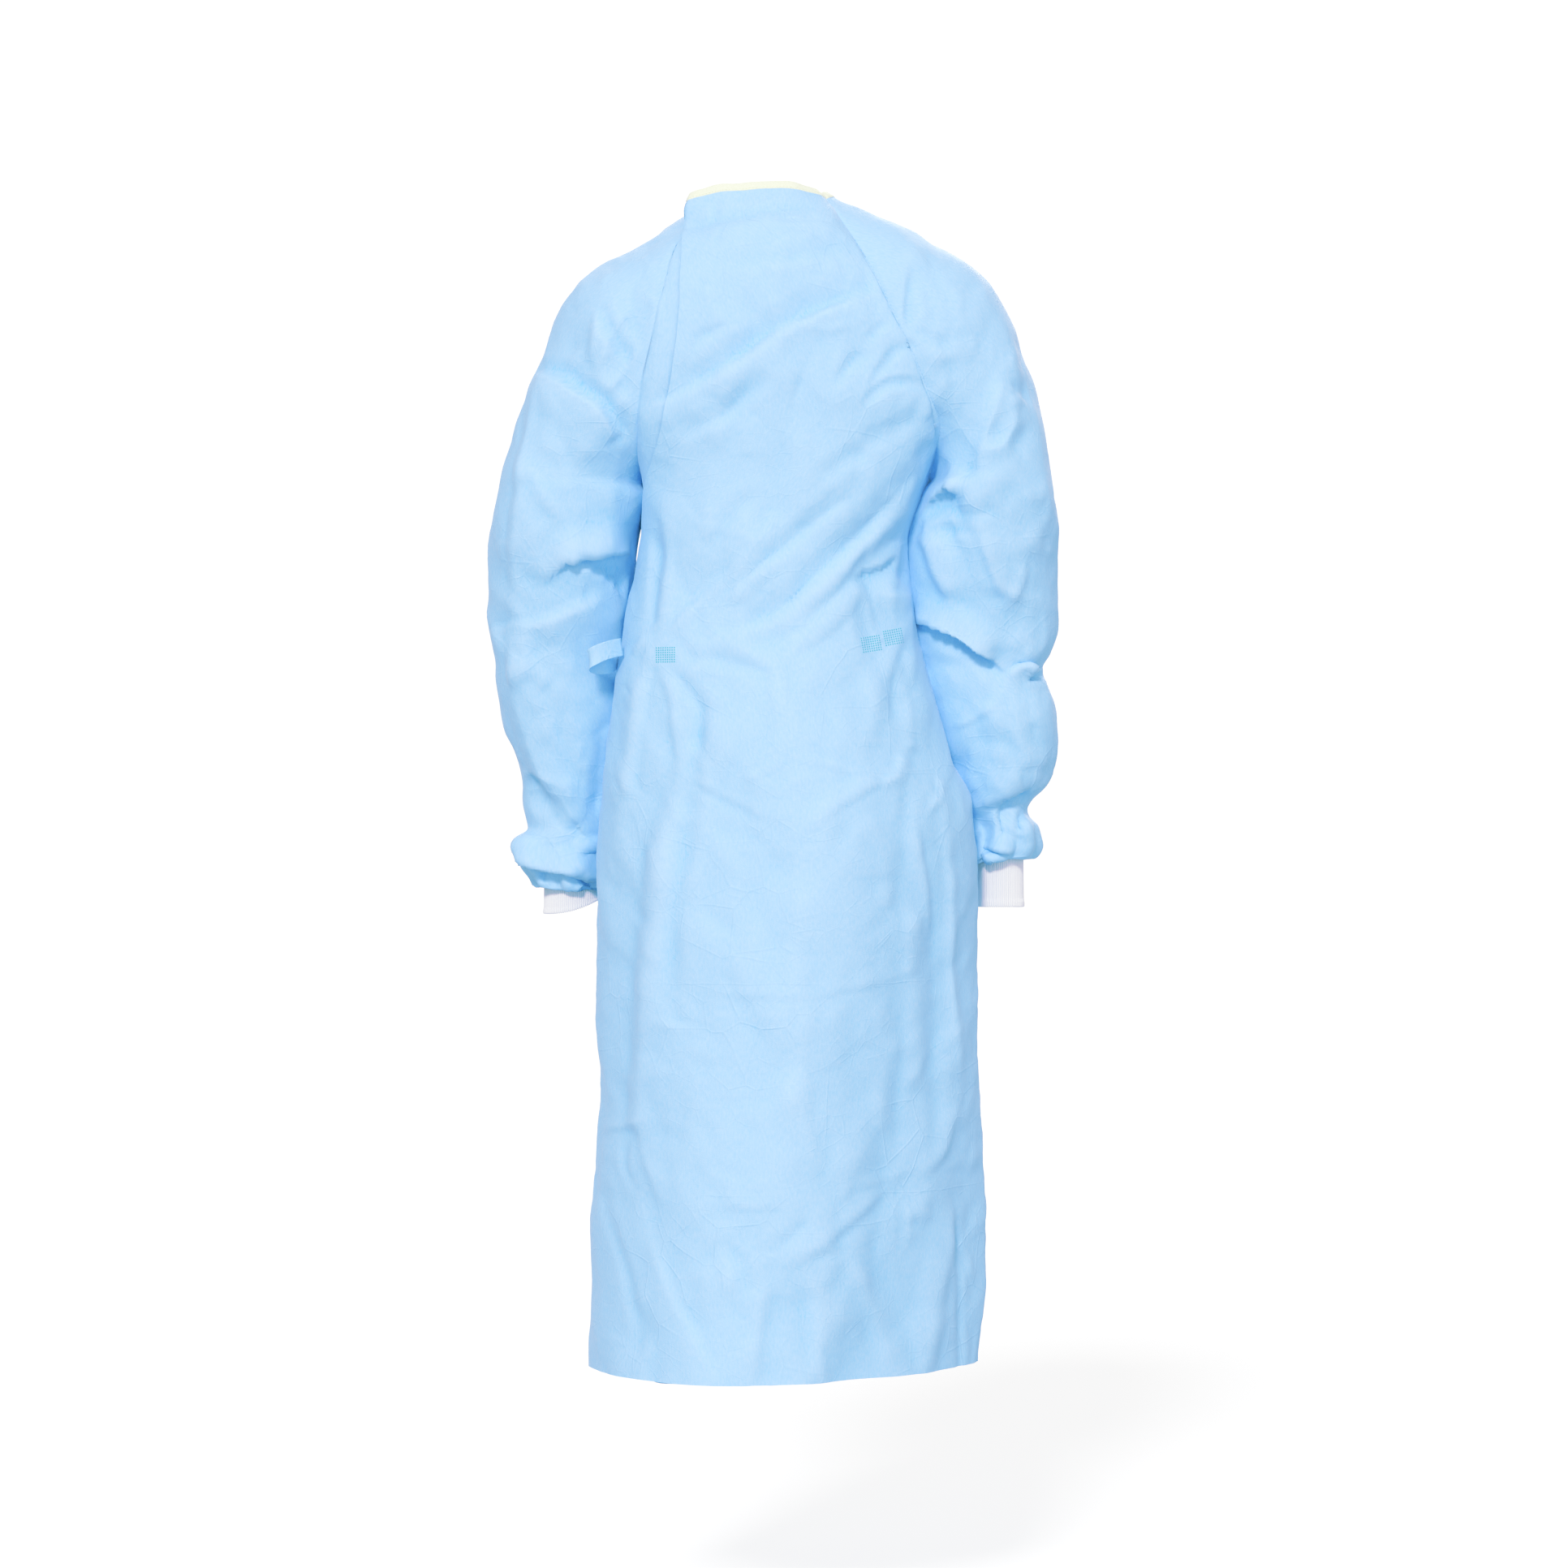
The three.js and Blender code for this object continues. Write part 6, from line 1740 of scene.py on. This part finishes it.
# Neck tape and its stitches
tape, seam_places, seam_outs = make_binding()
put_on(tape, tape_cloth)
declare(tape, "neck_binding", "neck_binding")
stitches = stitch_tree()
tape_seam = run_tree("neck_tape_stitches", line_mesh("neck_seam", seam_places, seam_outs), stitches, {
    "Pitch": 3.4 * MM, "Length": 2.6 * MM, "Thread": 0.45 * MM, "Material": tape_thread})
declare(tape_seam, "neck_binding")

# Stitches along the raglan seams that show
RAGLAN_SEAMS = {
    "back_right_seam": (over, -1),
    "front_right_seam": (front, -1),
    "front_left_seam": (front, 0),
}
for name, (sheet, side) in RAGLAN_SEAMS.items():
    line = np.concatenate([sheet.places[2:CAP_ROWS, side], sheet.normals[2:CAP_ROWS, side]], axis=1)
    line[:, :3] += line[:, 3:] * 0.35
    seam = run_tree(name + "_stitches", line_mesh(name, line[:, :3], line[:, 3:]), stitches, {
        "Pitch": 4.2 * MM, "Length": 2.9 * MM, "Thread": 0.5 * MM, "Material": blue_thread})
    declare(seam, "nonwoven_cloth")

# Ties
tie_meshes = {
    "tie_back": tie_on_edge("back_tie", back_tie_path()),
    "tie_front": tie_on_edge("front_tie", front_tie_path()),
    "tie_knot": knot_mesh(),
}
for node, tail in TAILS.items():
    tie_meshes[node] = tail_mesh(node + "_strip", tail)
for node, mesh in tie_meshes.items():
    # The ties get no painted shade in their folds
    add_number(mesh, "cavity", np.zeros(len(mesh.vertices)))
    points = np.empty(len(mesh.vertices) * 3)
    mesh.vertices.foreach_get("co", points)
    add_uv(mesh, points.reshape(-1, 3)[:, [0, 2]])
    piece = link(mesh, mesh.name)
    put_on(piece, back_cloth)
    declare(piece, "nonwoven_cloth", node)

# Weld patches that hold the inner ties: middle X and Z, and turn in degrees
weld = weld_tree()
WELDS = {
    "left_weld": (-112.5, -468, 0),
    "right_weld_inner": (91.5, -457, 10),
    "right_weld_outer": (114, -449.5, 12),
}
for name, (x, z, turn) in WELDS.items():
    carrier = bpy.data.meshes.new(name)
    patch = run_tree(name, carrier, weld, {
        "Cloth": cloth_pieces["back_panel_over"], "Columns": 9, "Rows": 7, "Wide": 18 * MM,
        "High": 14 * MM, "Middle": (x * MM, -0.6, z * MM), "Turn": math.radians(-turn),
        "Dot": 0.75 * MM, "Thick": 0.3 * MM, "Material": weld_film})
    declare(patch, "nonwoven_cloth")
